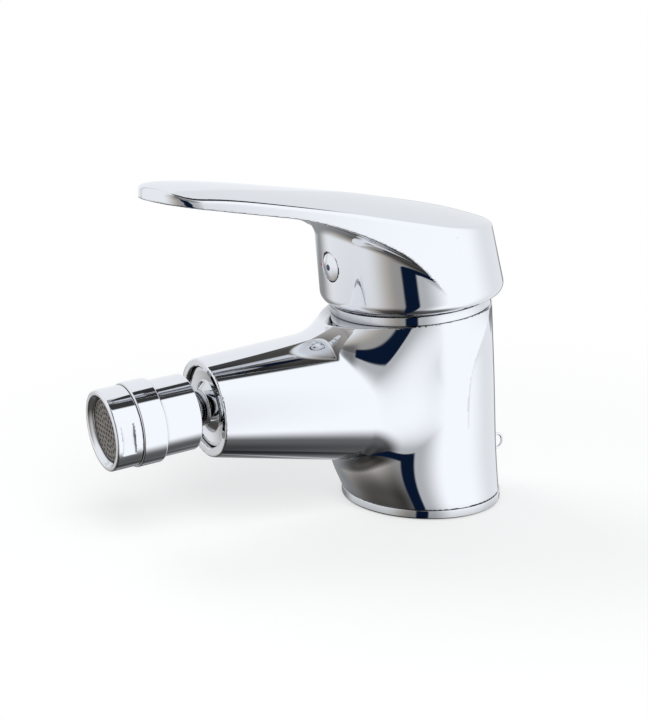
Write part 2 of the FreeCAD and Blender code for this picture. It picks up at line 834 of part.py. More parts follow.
def cup_circle(height):
    """Radius and centre of the handle's outer cup at a height on the head axis: it narrows
    upward and its axis leans to the front."""
    above = height - (handle_rim().number)
    radius = size["cup_radius"].number - size["cup_taper"].number * above
    centre = size["cup_back_shift"].number - size["cup_lean"].number * above
    return radius, centre


def cup_front(height):
    radius, centre = cup_circle(height.number)
    return Size(radius - centre)


def ring_wire(radius, centre_y, height):
    circle = Part.Circle(Vector(0, centre_y, height), Vector(0, 0, 1), radius)
    return Part.Wire([circle.toShape()])


def keyhole_wire(hub_radius, hub_y, tip_radius, tip_y, height):
    """Two arcs and their two common tangents: the lever's outline on one level."""
    spread = math.asin((hub_radius - tip_radius) / (hub_y - tip_y))
    side = Vector(math.cos(spread), -math.sin(spread), 0)
    hub, tip = Vector(0, hub_y, height), Vector(0, tip_y, height)
    hub_right, tip_right = hub + side * hub_radius, tip + side * tip_radius
    hub_left = Vector(-hub_right.x, hub_right.y, height)
    tip_left = Vector(-tip_right.x, tip_right.y, height)
    return Part.Wire([
        Part.Arc(hub_right, hub + Vector(0, hub_radius, 0), hub_left).toShape(),
        Part.LineSegment(hub_left, tip_left).toShape(),
        Part.Arc(tip_left, tip - Vector(0, tip_radius, 0), tip_right).toShape(),
        Part.LineSegment(tip_right, hub_right).toShape(),
    ])


def lever_slab(low, high):
    """The lever in plan, its sides flaring outward a little as they go down."""
    wires = []
    crease = size["lever_crease_height"].number
    for height in (low, high):
        hub_radius, hub_y = cup_circle(height)
        tip_radius = size["lever_tip_radius"].number + size["lever_flare"].number * (crease - height)
        wires.append(keyhole_wire(hub_radius - 0.03, hub_y, tip_radius, -size["lever_tip_reach"].number, height))
    return Part.makeLoft(wires, True, True)


# Stations along the lever: distance behind the axis, height of the top on the centre line,
# radius of the arc across it, and half the width that the arc spans.
CROWN = [
    (-93, 108.8, 24, 17), (-87, 114.9, 24, 17), (-80, 115.9, 25, 18), (-68, 114.0, 36, 24),
    (-52, 110.6, 49, 30), (-35, 106.7, 61, 34), (-18, 102.7, 67, 36), (-2, 98.4, 81, 38),
    (14, 93.7, 96, 38), (26, 89.0, 96, 38), (36, 84.2, 96, 38),
]


def crown_block(floor):
    """Everything under the handle's crowned top."""
    wires = []
    for y, top, radius, half in CROWN:
        edge = top - radius + math.sqrt(radius**2 - half**2)
        left, right = Vector(-half, y, edge), Vector(half, y, edge)
        low_left, low_right = Vector(-half, y, floor), Vector(half, y, floor)
        wires.append(Part.Wire([
            Part.Arc(left, Vector(0, y, top), right).toShape(),
            Part.LineSegment(right, low_right).toShape(),
            Part.LineSegment(low_right, low_left).toShape(),
            Part.LineSegment(low_left, left).toShape(),
        ]))
    return Part.makeLoft(wires, True, False)


def under_block():
    """Everything in front of the cup and under the lever."""
    points = [Vector(0, -110, 117.4), Vector(0, -50, 103.0), Vector(0, 0, 72.0)]
    middle = Vector(0, -22, 90.6)
    profile = Part.Wire([
        Part.LineSegment(points[0], points[1]).toShape(),
        Part.Arc(points[1], middle, points[2]).toShape(),
        Part.LineSegment(points[2], Vector(0, 0, 40)).toShape(),
        Part.LineSegment(Vector(0, 0, 40), Vector(0, -110, 40)).toShape(),
        Part.LineSegment(Vector(0, -110, 40), points[0]).toShape(),
    ])
    profile.translate(Vector(-50, 0, 0))
    return Part.Face(profile).extrude(Vector(100, 0, 0))


def lifted_barrel():
    """Where the barrel and its ring stand inside the handle when the lever is fully up, with room around."""
    radius = size["cover_ring_radius"].number + size["lift_room"].number
    pivot = size["pivot_height"].number
    foot = pivot - 30
    barrel = Part.makeCylinder(radius, handle_rim().number - foot, Vector(0, 0, foot))
    barrel.rotate(Vector(0, 0, pivot), Vector(1, 0, 0), size["lift_angle"].number)
    return barrel


def joins_cup(edge):
    """Where the lever's underside runs into the cup's front."""
    box = edge.BoundBox
    reach = size["cup_radius"].number
    across = box.XLength > 1.7 * reach
    return across and box.YMin > -1.3 * reach and box.YMax < 0 and box.ZMin > size["guide_height"].number


def make_lever_handle():
    rim = handle_rim().number
    peak = 120.0
    cup = Part.makeLoft([ring_wire(*cup_circle(rim), rim), ring_wire(*cup_circle(peak), peak)], True, True)
    low_edges = [edge for edge in cup.Edges if edge.BoundBox.ZMax < rim + 0.01]
    cup = cup.makeFillet(size["cup_rim_rounding"].number, low_edges)
    crown = crown_block(40.0)
    lever = lever_slab(rim + 4, peak).cut(under_block())
    outer = cup.fuse(lever).common(crown)
    outer = outer.makeFillet(size["lever_blend"].number, [e for e in outer.Edges if joins_cup(e)])
    crown_face = max(outer.Faces, key=lambda face: face.Area)
    outer = outer.makeFillet(size["crease_rounding"].number, crown_face.Edges)
    cavity_top = size["cup_cavity_top"].number
    cavity = Part.makeCylinder(size["cup_cavity_radius"].number, cavity_top - rim + 20, Vector(0, 0, rim - 20))
    skirt_top = size["skirt_top"].number
    rim_radius, rim_middle = cup_circle(rim)
    skirt_bore = rim_radius - size["skirt_wall"].number
    skirt = Part.makeCylinder(skirt_bore, skirt_top - rim + 20, Vector(0, rim_middle, rim - 20))
    shape = outer.cut(cavity).cut(skirt)
    boss_low = size["boss_bottom"].number
    boss = Part.makeCylinder(size["boss_radius"].number, cavity_top - boss_low + 1, Vector(0, 0, boss_low))
    half_web = size["web_width"].number / 2
    web_front = size["cup_cavity_radius"].number + 1
    web = Part.makeBox(2 * half_web, web_front, cavity_top - boss_low + 1, Vector(-half_web, -web_front, boss_low))
    shape = shape.fuse([boss, web])
    gap = size["socket_clearance"].number
    half_x = size["spindle_width"].number / 2 + gap
    half_y = size["spindle_depth"].number / 2 + gap
    socket_height = size["spindle_top"].number - boss_low + 1
    socket = Part.makeBox(2 * half_x, 2 * half_y, socket_height, Vector(-half_x, -half_y, boss_low - 1))
    level = size["screw_height"].number
    hole = Part.makeCylinder(size["screw_radius"].number + gap, 40, Vector(0, 0, level), Vector(0, -1, 0))
    seat = Part.makeCylinder(size["button_radius"].number + 0.15, 20,
                             Vector(0, -size["button_seat"].number, level), Vector(0, -1, 0))
    depth = size["mark_depth"].number
    mark = Part.makeCylinder(size["red_mark_radius"].number, depth + 2, Vector(0, 0, -depth))
    mark.Placement = red_mark_frame()
    for tool in (lifted_barrel(), socket, hole, seat, mark):
        shape = shape.cut(tool)
    handle = doc.addObject("Part::Feature", "lever_handle")
    handle.Label = "lever_handle"
    handle.Shape = shape.removeSplitter()
    handle.Placement = HEAD
    return keep(handle)


# Swivel nozzle, all about the spout axis

def at_latitude(ball, angle):
    """A corner on a ball about the swivel's centre, at degrees towards the outlet."""
    angle_rad = math.radians(angle.number)
    side = 1 if angle_rad >= 0 else -1
    return OnBall(ball * math.cos(angle_rad), size["ball_reach"], ball, side)


def shell_band(name, low, high):
    """A ring cut from the thin ball shell between two latitudes."""
    inner = size["ball_radius"] + size["liner_film"]
    outer = inner + size["liner_thickness"]
    turned(name, SPOUT, [
        at_latitude(inner, low), at_latitude(outer, low), at_latitude(outer, high), at_latitude(inner, high),
    ])


def make_ball_nipple():
    recess = -size["spout_recess_depth"]
    flange_low = recess + size["nipple_gasket_thickness"]
    thread = size["spout_thread_radius"] - size["thread_clearance"]
    end = recess - size["spout_thread_depth"] + 1.5
    flange = size["nipple_flange_radius"]
    neck = size["ball_neck"]
    reach = size["ball_reach"]
    turned("ball_nipple", SPOUT, [
        (size["ball_bore"], end), (thread, end), (thread, flange_low), (flange, flange_low),
        (flange, flange_low + 1.1), (flange - 1.2, flange_low + 1.1), (neck + 2.4, flange_low + 0.6),
        (neck, flange_low + 2.6), OnBall(neck, reach, size["ball_radius"], -1),
        OnBall(size["ball_bore"], reach, size["ball_radius"], 1),
    ])


def make_nipple_gasket():
    low = -size["spout_recess_depth"]
    turned("nipple_gasket", SPOUT, tube_corners(
        size["spout_thread_radius"], size["nipple_flange_radius"], low, low + size["nipple_gasket_thickness"]))


def make_swivel_collar():
    start = size["collar_start"]
    end = start + size["collar_length"]
    outer = size["collar_radius"]
    bore = size["collar_bore"]
    ball = size["ball_radius"] + size["liner_film"] * 2 + size["liner_thickness"]
    lip = OnBall(ball * math.cos(math.radians(25.5)), size["ball_reach"], ball, -1)
    bevel = size["ring_bevel"]
    body = new_body("swivel_collar", SPOUT)
    turn_about_axis(body, [
        (size["ball_radius"] + size["swivel_mouth"], start), (outer - bevel, start), (outer, start + bevel),
        (outer, end),
        (bore, end),
        (bore, size["ball_reach"]), OnBall(ball, size["ball_reach"], ball, 1), lip,
        (lip.r - 0.4, lip.z - 0.05),
    ])
    return keep(body)


def make_swivel_shell():
    start = size["collar_start"] + size["collar_length"]
    end = start + size["shell_length"]
    spigot = size["collar_bore"] - size["thread_clearance"]
    outer = size["shell_radius"]
    seat = size["aerator_thread"] + size["thread_clearance"]
    band_end = at_latitude(size["ball_radius"] + size["liner_thickness"], size["seal_angle_high"])
    web = band_end.z + 0.15
    web_end = end - size["aerator_thread_length"]
    inner = size["ball_radius"] + size["swivel_mouth"] + 0.15
    foot = start - size["shell_spigot"]
    bevel = size["ring_bevel"]
    body = new_body("swivel_shell", SPOUT)
    turn_about_axis(body, [
        (size["outlet_hole"], web), (inner, web), (inner, foot), (spigot, foot), (spigot, start),
        (outer - bevel, start), (outer, start + bevel), (outer, end - bevel), (outer - bevel, end),
        (seat, end), (seat, web_end), (size["outlet_hole"], web_end),
    ])
    return keep(body)


def aerator_levels():
    """Where the aerator's thread starts, where its visible rim starts, and its outlet face."""
    shoulder = size["collar_start"] + size["collar_length"] + size["shell_length"]
    thread = shoulder - size["aerator_thread_length"]
    return thread, shoulder, shoulder + size["aerator_length"]


def make_aerator_gasket():
    thread = aerator_levels()[0]
    turned("aerator_gasket", SPOUT, tube_corners(
        size["outlet_hole"], size["aerator_thread"] - 0.1, thread, thread + size["aerator_gasket_thickness"]))


def make_aerator_housing():
    thread, shoulder, face = aerator_levels()
    start = thread + size["aerator_gasket_thickness"]
    bore = size["insert_radius"] + size["liner_film"]
    outer = size["aerator_radius"]
    stop = start + size["insert_length"]
    bevel = size["ring_bevel"]
    body = new_body("aerator_housing", SPOUT)
    turn_about_axis(body, [
        (bore, start), (size["aerator_thread"], start), (size["aerator_thread"], shoulder),
        (outer - bevel, shoulder), (outer, shoulder + bevel), (outer, face - 2 * bevel),
        (outer - 2 * bevel, face), (bore + 1.1, face), (bore - 0.7, stop + 0.9),
        (bore - 0.7, stop), (bore, stop),
    ])
    return keep(body)


def make_aerator_insert():
    start = aerator_levels()[0] + size["aerator_gasket_thickness"]
    end = start + size["insert_length"]
    outer = size["insert_radius"]
    inner = outer - 0.9
    plate = end - 1.5
    body = new_body("aerator_insert", SPOUT)
    turn_about_axis(body, [
        (inner, start), (outer, start), (outer, end), (ORIGIN, end), (ORIGIN, plate), (inner, plate),
    ])
    drill(body, at(z=plate.number - 1), size["insert_hole_radius"], Size(3), "middle_hole")
    for ring in (1, 2):
        centre = size["insert_ring_pitch"] * ring
        spot = circle_sketch(body, at(z=plate.number - 1), centre, 0, size["insert_hole_radius"], f"ring{ring}")
        hole = push(body, spot, Size(3), cut=True, name=f"ring{ring}")
        pattern = body.newObject("PartDesign::PolarPattern", f"aerator_holes_{ring}")
        pattern.Originals = [hole]
        pattern.Axis = (spot, ["N_Axis"])
        pattern.Angle = 360.0
        pattern.Occurrences = 6 * ring
        body.Tip = pattern
    return keep(body)


def make_flow_screen():
    start = aerator_levels()[0] + size["aerator_gasket_thickness"]
    radius = size["insert_radius"] - 0.9
    turned("flow_screen", SPOUT, rod_corners(radius, start + 1, start + 1.4))


def check_and_write():
    """Stops on any failed object or shape, then writes one file for each sub-part."""
    doc.recompute()
    for item in doc.Objects:
        if "Invalid" in item.State or "Error" in item.State:
            raise RuntimeError(f"{item.Name} failed: {item.State}")
    os.makedirs("parts", exist_ok=True)
    for part in SUB_PARTS:
        shape = part.Shape
        if shape.isNull() or not shape.isValid() or not shape.Solids:
            raise RuntimeError(f"{part.Label} has no valid solid")
        shape.exportStep(f"parts/{part.Label}.step")
        print(part.Label, len(shape.Solids), "solid(s)", round(shape.Volume, 1), "mm3")


make_base_ring()
make_base_gasket()
make_body_casting()
make_chain_eyelet()
make_cartridge_base()
make_port_seals()
make_fixed_disc()
make_moving_disc()
make_disc_carrier()
make_cartridge_shell()
make_retaining_nut()
make_cover_ring()
make_spindle_guide()
make_pivot_pin()
make_spindle()
make_set_screw()
make_index_button()
make_blue_mark()
make_red_mark()
make_lever_handle()
make_ball_nipple()
make_nipple_gasket()
shell_band("ball_liner", -size["liner_half_angle"], size["liner_half_angle"])
shell_band("ball_seal", size["seal_angle_low"], size["seal_angle_high"])
make_swivel_collar()
make_swivel_shell()
make_aerator_gasket()
make_aerator_housing()
make_aerator_insert()
make_flow_screen()
check_and_write()
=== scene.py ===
# %% [markdown]
# # A chrome bidet mixer
#
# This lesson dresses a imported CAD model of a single-lever bidet mixer: a cast body that leans
# forward a little, a lever handle like a spoon over a cup, and a ball-jointed aerator at the end
# of a short spout. Nearly all that shows is bright chrome, so the lesson is mostly about two
# things: surfaces smooth enough for a mirror, and a studio worth reflecting.
#
# The CAD model is loaded first and stays where it is. Everything made here is in its frame.

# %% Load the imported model
import json
import math

import bpy
import numpy as np
from mathutils import Matrix, Vector


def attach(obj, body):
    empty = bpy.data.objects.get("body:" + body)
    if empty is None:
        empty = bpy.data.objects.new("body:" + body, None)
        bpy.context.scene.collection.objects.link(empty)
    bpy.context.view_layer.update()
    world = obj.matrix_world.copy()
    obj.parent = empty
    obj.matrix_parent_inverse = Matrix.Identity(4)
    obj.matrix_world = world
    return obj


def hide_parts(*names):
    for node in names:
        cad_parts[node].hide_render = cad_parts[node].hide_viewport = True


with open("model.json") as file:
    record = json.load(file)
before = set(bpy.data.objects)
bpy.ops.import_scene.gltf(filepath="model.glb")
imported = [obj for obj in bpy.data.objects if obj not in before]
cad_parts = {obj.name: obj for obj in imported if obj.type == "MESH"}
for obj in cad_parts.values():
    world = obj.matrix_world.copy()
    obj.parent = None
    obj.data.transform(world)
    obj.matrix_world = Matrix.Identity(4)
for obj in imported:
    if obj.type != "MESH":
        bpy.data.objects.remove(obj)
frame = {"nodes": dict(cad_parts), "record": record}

scene = bpy.context.scene
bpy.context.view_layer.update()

# %% [markdown]
# ## The camera
#
# The mixer is seen from its front right and a little from above, from about half a metre away.
# The camera stands where the photographer's stood, with the same slight roll, so shapes can be
# compared edge by edge. It comes first because it decides how fine each surface has to be:
# here one millimetre of the mixer is three pixels.

# %% Place the camera
MM = 0.001
IMAGE_HEIGHT = 720
FOCAL_PIXELS = 1429.0
SENSOR = 36.0
EYE = Vector((0.36706, -0.25655, 0.15951))
RIGHT = Vector((0.50547, 0.86249, 0.02474))
UP = Vector((-0.22818, 0.10596, 0.96784))

camera_data = bpy.data.cameras.new("camera")
camera_data.sensor_fit = "VERTICAL"
camera_data.sensor_height = SENSOR
camera_data.lens = FOCAL_PIXELS / IMAGE_HEIGHT * SENSOR
camera_data.clip_start = 0.01
camera = bpy.data.objects.new("camera", camera_data)
axes = Matrix((RIGHT, UP, RIGHT.cross(UP))).transposed()
camera.matrix_world = Matrix.Translation(EYE) @ axes.to_4x4()
scene.collection.objects.link(camera)
scene.camera = camera
print("lens:", round(camera_data.lens, 1), "mm")

# %% [markdown]
# ## Colours and shader nodes
#
# Colours are written as sRGB hex values, the way a paint or plating chart gives them, and one
# function turns them into the linear values that shaders work in. One small function adds a
# shader node, sets its options and joins its inputs, so a finish reads as a short list of steps.

# %% Colour and node helpers
def linear(hex_code, alpha=1.0):
    """A hex colour as linear red, green, blue and alpha."""
    values = []
    for start in (1, 3, 5):
        value = int(hex_code[start:start + 2], 16) / 255
        values.append(value / 12.92 if value <= 0.04045 else ((value + 0.055) / 1.055) ** 2.4)
    return (*values, alpha)


def add(tree, kind, inputs=None, **settings):
    """Adds one shader node. An input is a number, a colour or another node's output."""
    node = tree.nodes.new("ShaderNode" + kind)
    for name, value in settings.items():
        setattr(node, name, value)
    for name, value in (inputs or {}).items():
        if isinstance(value, bpy.types.NodeSocket):
            tree.links.new(value, node.inputs[name])
        else:
            node.inputs[name].default_value = value
    return node


def new_finish(name, sockets):
    """A material with one Principled shader. Returns the material, its tree and the shader."""
    material = bpy.data.materials.new(name)
    material.use_nodes = True
    tree = material.node_tree
    tree.nodes.clear()
    shader = add(tree, "BsdfPrincipled", sockets)
    add(tree, "OutputMaterial", {"Surface": shader.outputs["BSDF"]})
    return material, tree, shader


def pictured(tree):
    """1 for rays that the camera or a mirror sends, 0 for rays that only gather light."""
    ray = add(tree, "LightPath")
    seen = ray.outputs["Is Camera Ray"]
    for kind in ("Is Glossy Ray", "Is Transmission Ray"):
        seen = add(tree, "Math", {0: seen, 1: ray.outputs[kind]}, operation="MAXIMUM").outputs[0]
    return seen


def per_metre(feature_mm):
    """The noise scale, in cells per metre, that makes features of this size."""
    return 1000 / feature_mm


print("white in linear values:", linear("#FFFFFF")[:3])

# %% [markdown]
# ## Bright chrome plate
#
# The body and handle are brass, ground, buffed and then plated with nickel and a hair of
# chromium. Chrome is a mirror with a faint cold cast. Buffing leaves the face very slightly
# wavy over 15 to 20 mm, which bends long reflections a little, and wiping leaves a haze too
# fine to see except as reflections that are not equally sharp everywhere. So the finish is one
# metal shader, with a slow shallow bump and a small spread of roughness.
#
# In a narrow gap chrome mirrors the gap's other wall again and again, and turns dark. On top of
# that, an ambient occlusion node finds the places with metal within 7 mm, and paints the plate's
# colour darker there: painted shade in the gaps and hollows.

# %% The chrome finish
chrome, tree, shader = new_finish("bright_chrome_plate", {"Metallic": 1.0})
place = add(tree, "TexCoord")
# Painted shade: where other metal lies within 7 mm, the base colour runs down to a dark grey.
painted_gap_shade = add(tree, "AmbientOcclusion", {"Distance": 7.0 * MM}, samples=8)
plate = add(tree, "ValToRGB", {"Fac": painted_gap_shade.outputs["AO"]})
plate.color_ramp.elements[0].color = linear("#303236")
plate.color_ramp.elements[1].color = linear("#ECEDF0")
plate.color_ramp.elements[1].position = 0.85
tree.links.new(plate.outputs["Color"], shader.inputs["Base Color"])
haze = add(tree, "TexNoise", {
    "Vector": place.outputs["Object"], "Scale": per_metre(9.0), "Detail": 4.0, "Roughness": 0.6,
})
spread = add(tree, "MapRange", {
    "Value": haze.outputs["Fac"], "From Min": 0.3, "From Max": 0.7, "To Min": 0.022, "To Max": 0.05,
})
tree.links.new(spread.outputs["Result"], shader.inputs["Roughness"])
waviness = add(tree, "TexNoise", {
    "Vector": place.outputs["Object"], "Scale": per_metre(18.0), "Detail": 1.0,
})
bump = add(tree, "Bump", {"Height": waviness.outputs["Fac"], "Strength": 0.35, "Distance": 0.00009})
tree.links.new(bump.outputs["Normal"], shader.inputs["Normal"])
print("finish:", chrome.name)

# %% [markdown]
# ## The finishes that hide
#
# Under the handle and inside the aerator are machined brass, drawn stainless steel, moulded
# rubber and acetal, and lapped ceramic. Each gets the mark its making leaves: turning rings a
# quarter of a millimetre apart on brass, drawing lines on steel, and a fine moulded grain on
# rubber and plastic. The grain of a mould is about 0.1 mm. It is drawn at 0.3 mm, because
# anything finer than a pixel would only shimmer.

# %% Brass, steel and ceramic
brass, tree, shader = new_finish("turned_brass", {"Metallic": 1.0, "Roughness": 0.3})
place = add(tree, "TexCoord")
stain = add(tree, "TexNoise", {
    "Vector": place.outputs["Object"], "Scale": per_metre(6.0), "Detail": 5.0,
})
tone = add(tree, "ValToRGB", {"Fac": stain.outputs["Fac"]})
tone.color_ramp.elements[0].color = linear("#A9854A")
tone.color_ramp.elements[1].color = linear("#D9BC7C")
tree.links.new(tone.outputs["Color"], shader.inputs["Base Color"])
rings = add(tree, "TexWave", {
    "Vector": place.outputs["Object"], "Scale": per_metre(0.25) / 20, "Distortion": 0.4,
}, wave_type="RINGS", rings_direction="Z")
bump = add(tree, "Bump", {"Height": rings.outputs["Fac"], "Strength": 0.3, "Distance": 0.00002})
tree.links.new(bump.outputs["Normal"], shader.inputs["Normal"])

steel, tree, shader = new_finish("drawn_stainless_steel", {
    "Base Color": linear("#C6C7C8"), "Metallic": 1.0,
})
place = add(tree, "TexCoord")
stretch = add(tree, "Mapping", {"Vector": place.outputs["Object"], "Scale": (0.08, 1.0, 1.0)})
lines = add(tree, "TexNoise", {
    "Vector": stretch.outputs["Vector"], "Scale": per_metre(0.3), "Detail": 3.0,
})
spread = add(tree, "MapRange", {"Value": lines.outputs["Fac"], "To Min": 0.18, "To Max": 0.42})
tree.links.new(spread.outputs["Result"], shader.inputs["Roughness"])
bump = add(tree, "Bump", {"Height": lines.outputs["Fac"], "Strength": 0.2, "Distance": 0.00001})
tree.links.new(bump.outputs["Normal"], shader.inputs["Normal"])

ceramic, tree, shader = new_finish("lapped_alumina", {"Roughness": 0.16, "IOR": 1.76})
place = add(tree, "TexCoord")
grain = add(tree, "TexNoise", {
    "Vector": place.outputs["Object"], "Scale": per_metre(0.4), "Detail": 2.0,
})
tone = add(tree, "ValToRGB", {"Fac": grain.outputs["Fac"]})
tone.color_ramp.elements[0].color = linear("#E6E2D6")
tone.color_ramp.elements[1].color = linear("#F3F1EA")
tree.links.new(tone.outputs["Color"], shader.inputs["Base Color"])
print("finishes:", brass.name, steel.name, ceramic.name)

# %% Rubber, acetal and enamel
def moulded(name, dark, pale, roughness, ior, grain_mm=0.3, depth_mm=0.02):
    """A moulded or painted finish: a fine grain, and a tone that drifts a little over it."""
    material, tree, shader = new_finish(name, {"IOR": ior})
    place = add(tree, "TexCoord")
    drift = add(tree, "TexNoise", {
        "Vector": place.outputs["Object"], "Scale": per_metre(5.0), "Detail": 3.0,
    })
    tone = add(tree, "ValToRGB", {"Fac": drift.outputs["Fac"]})
    tone.color_ramp.elements[0].color = linear(dark)
    tone.color_ramp.elements[1].color = linear(pale)
    tree.links.new(tone.outputs["Color"], shader.inputs["Base Color"])
    grain = add(tree, "TexNoise", {
        "Vector": place.outputs["Object"], "Scale": per_metre(grain_mm), "Detail": 2.0,
    })
    spread = add(tree, "MapRange", {
        "Value": grain.outputs["Fac"], "To Min": roughness - 0.06, "To Max": roughness + 0.06,
    })
    tree.links.new(spread.outputs["Result"], shader.inputs["Roughness"])
    bump = add(tree, "Bump", {
        "Height": grain.outputs["Fac"], "Strength": 0.4, "Distance": depth_mm * MM,
    })
    tree.links.new(bump.outputs["Normal"], shader.inputs["Normal"])
    return material


rubber = moulded("moulded_nitrile_rubber", "#161616", "#232323", 0.62, 1.52)
white_acetal = moulded("white_acetal", "#DEDCD2", "#EAE9E2", 0.42, 1.48)
grey_acetal = moulded("grey_acetal", "#5B5650", "#6F6962", 0.36, 1.48)
blue_enamel = moulded("blue_enamel", "#141C49", "#1B2559", 0.16, 1.5, depth_mm=0.004)
red_enamel = moulded("red_enamel", "#9C1C1C", "#B22A26", 0.16, 1.5, depth_mm=0.004)
FINISHES = {
    "chrome_plate": chrome, "raw_brass": brass, "stainless": steel, "ceramic": ceramic,
    "black_rubber": rubber, "white_acetal": white_acetal, "grey_acetal": grey_acetal,
    "blue_enamel": blue_enamel, "red_enamel": red_enamel,
}
print("finishes:", ", ".join(FINISHES))

# %% [markdown]
# ## Where things are
#
# Two frames do most of the work. The head frame leans forward with the barrel: its height runs
# up the barrel's axis. The spout frame starts in the middle of the spout's end face, and its
# depth runs out along the nozzle. All shapes below are in millimetres, and become metres
# only when a mesh is made.

# %% The head and spout frames
HEAD_LEAN = math.radians(6.2)
SPOUT_DROP = math.radians(5.4)
SPOUT_END = np.array([0.0, -79.5, 39.1])
SPOUT_OUT = np.array([0.0, -math.cos(SPOUT_DROP), -math.sin(SPOUT_DROP)])


def to_head(y, z):
    """World y and z as the head frame's depth and height."""
    return (y * math.cos(HEAD_LEAN) + z * math.sin(HEAD_LEAN),
            z * math.cos(HEAD_LEAN) - y * math.sin(HEAD_LEAN))


def to_spout(y, z):
    """World y and z as the spout frame's cross height and outward depth."""
    across = (z - SPOUT_END[2]) * -SPOUT_OUT[1] + (y - SPOUT_END[1]) * SPOUT_OUT[2]
    along = (y - SPOUT_END[1]) * SPOUT_OUT[1] + (z - SPOUT_END[2]) * SPOUT_OUT[2]
    return across, along


HEAD = Matrix.Rotation(HEAD_LEAN, 4, "X")
SPOUT = Matrix.Translation(Vector(SPOUT_END)) @ Matrix((
    (1, 0, 0, 0),
    (0, SPOUT_OUT[2], SPOUT_OUT[1], 0),
    (0, -SPOUT_OUT[1], SPOUT_OUT[2], 0),
    (0, 0, 0, 1),
))
print("spout end in the head frame:", [round(float(v), 2) for v in to_head(*SPOUT_END[1:])])

# %% [markdown]
# ## Turned pieces
#
# The rings, the collar, the nozzle and the index button are all turned on a lathe. Each is
# its half section, spun. On a mirror it is the corner roundings that catch the light, so each
# corner of a section has its own radius, and each point carries the exact normal of the curve
# it lies on. Without that, the flat bands next to a rounding would look pillowy.

# %% A lathe
def rounded(corners, steps=6):
    """Points and normals along a closed section of (radius, height, rounding) corners.

    The corners run anticlockwise as seen with the axis on the left.
    """
    points, normals = [], []
    for i, (r, h, rounding) in enumerate(corners):
        here = np.array([r, h])
        if r == 0:
            points.append(here)
            normals.append(np.array([0.0, 1.0 if corners[i - 1][0] > 0 else -1.0]))
            continue
        back = np.array(corners[i - 1][:2]) - here
        ahead = np.array(corners[(i + 1) % len(corners)][:2]) - here
        back, ahead = back / np.linalg.norm(back), ahead / np.linalg.norm(ahead)
        half = math.acos(back @ ahead) / 2
        bisector = (back + ahead) / np.linalg.norm(back + ahead)
        middle = here + bisector * rounding / math.sin(half)
        first = here + back * rounding / math.tan(half) - middle
        side = 1.0 if back[0] * ahead[1] < back[1] * ahead[0] else -1.0
        for step in range(steps + 1):
            angle = side * (math.pi - 2 * half) * step / steps
            ray = np.array([
                first[0] * math.cos(angle) - first[1] * math.sin(angle),
                first[0] * math.sin(angle) + first[1] * math.cos(angle),
            ])
            points.append(middle + ray)
            normals.append(side * ray / rounding)
    return np.array(points), np.array(normals)


def make_mesh(name, vertices, faces, normals, finish):
    """A smooth mesh object in metres, from vertices in millimetres and a normal for each."""
    mesh = bpy.data.meshes.new(name)
    mesh.from_pydata((vertices * MM).tolist(), [], faces)
    mesh.polygons.foreach_set("use_smooth", np.ones(len(mesh.polygons), bool))
    mesh.normals_split_custom_set_from_vertices(normals.tolist())
    mesh.materials.append(finish)
    piece = bpy.data.objects.new(name, mesh)
    scene.collection.objects.link(piece)
    print(name, "faces:", len(mesh.polygons))
    return piece


def spun(name, corners, placing, finish=chrome, segments=192):
    """Spins a rounded section about the Z axis of its placing."""
    points, normals = rounded(corners)
    angles = np.linspace(0, 2 * math.pi, segments, endpoint=False)
    circle = np.stack([np.cos(angles), np.sin(angles)], 1)
    shape = (len(points), segments, 3)
    vertices, outward = np.zeros(shape), np.zeros(shape)
    for array, section in ((vertices, points), (outward, normals)):
        array[..., :2] = section[:, None, :1] * circle
        array[..., 2] = section[:, None, 1]
    index = np.arange(len(points) * segments).reshape(len(points), segments)
    on_axis = points[:, 0] < 1e-9
    index[on_axis] = index[on_axis][:, :1]
    above, beside = np.roll(index, -1, 0), np.roll(index, -1, 1)
    quads = np.stack([index, beside, np.roll(above, -1, 1), above], -1).reshape(-1, 4)
    faces = [list(dict.fromkeys(quad)) for quad in quads.tolist()]
    faces = [face for face in faces if len(face) > 2]
    used = np.unique(np.concatenate(faces))
    renumber = {old: new for new, old in enumerate(used.tolist())}
    faces = [[renumber[corner] for corner in face] for face in faces]
    placing = np.array(placing)
    vertices = vertices.reshape(-1, 3)[used] @ placing[:3, :3].T + placing[:3, 3]
    outward = outward.reshape(-1, 3)[used] @ placing[:3, :3].T
    return make_mesh(name, vertices, faces, outward, finish)


def fit(piece, body, slot, *nodes):
    """The piece rides on its body, and stands for its CAD nodes."""
    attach(piece, body)
    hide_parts(*nodes)


# %% Base ring and cover ring
FOOT = 2.85
base_ring = spun("base_ring_turned", [
    (21.65, 0, 0.1), (22.8, 0, 0.1), (22.8, 1.2, 0.1), (24.8, 1.2, 0.1), (24.8, 0, 0.1),
    (26.0, 0, 0.6), (26.0, FOOT, 0.35), (21.65, FOOT, 0.1),
], Matrix.Identity(4))
fit(base_ring, "base", "chrome_plate", "base_ring")

BARREL_TOP = 64.4
COVER_TOP = 67.3
cover_ring = spun("cover_ring_turned", [
    (22.25, BARREL_TOP, 0.1), (25.46, BARREL_TOP, 0.25), (25.46, COVER_TOP, 0.4),
    (17.0, COVER_TOP, 0.15), (17.0, COVER_TOP - 1.3, 0.1), (22.25, COVER_TOP - 1.3, 0.1),
], HEAD)
fit(cover_ring, "base", "chrome_plate", "cover_ring")

# %% The swivel: ball, collar and shell
# The ball is drawn 0.06 mm under size, so that it clears the flat facets of its CAD liner.
BALL = 11.8
ball_nipple = spun("ball_nipple_turned", [
    (4.4, -11.5, 0.1), (11.4, -11.5, 0.2), (11.4, -2.4, 0.1), (12.1, -2.4, 0.1), (12.1, -1.3, 0.2),
    (10.9, -1.3, 0.2), (7.8, -1.8, 1.0), (5.4, 0.3, 0.6), (5.4, 6.255, 0.05),
    (8.019, BALL - 2.995, 7.6), (7.407, BALL + 4.29, 7.6), (4.4, 18.168, 0.05),
], SPOUT)
fit(ball_nipple, "base", "chrome_plate", "ball_nipple")

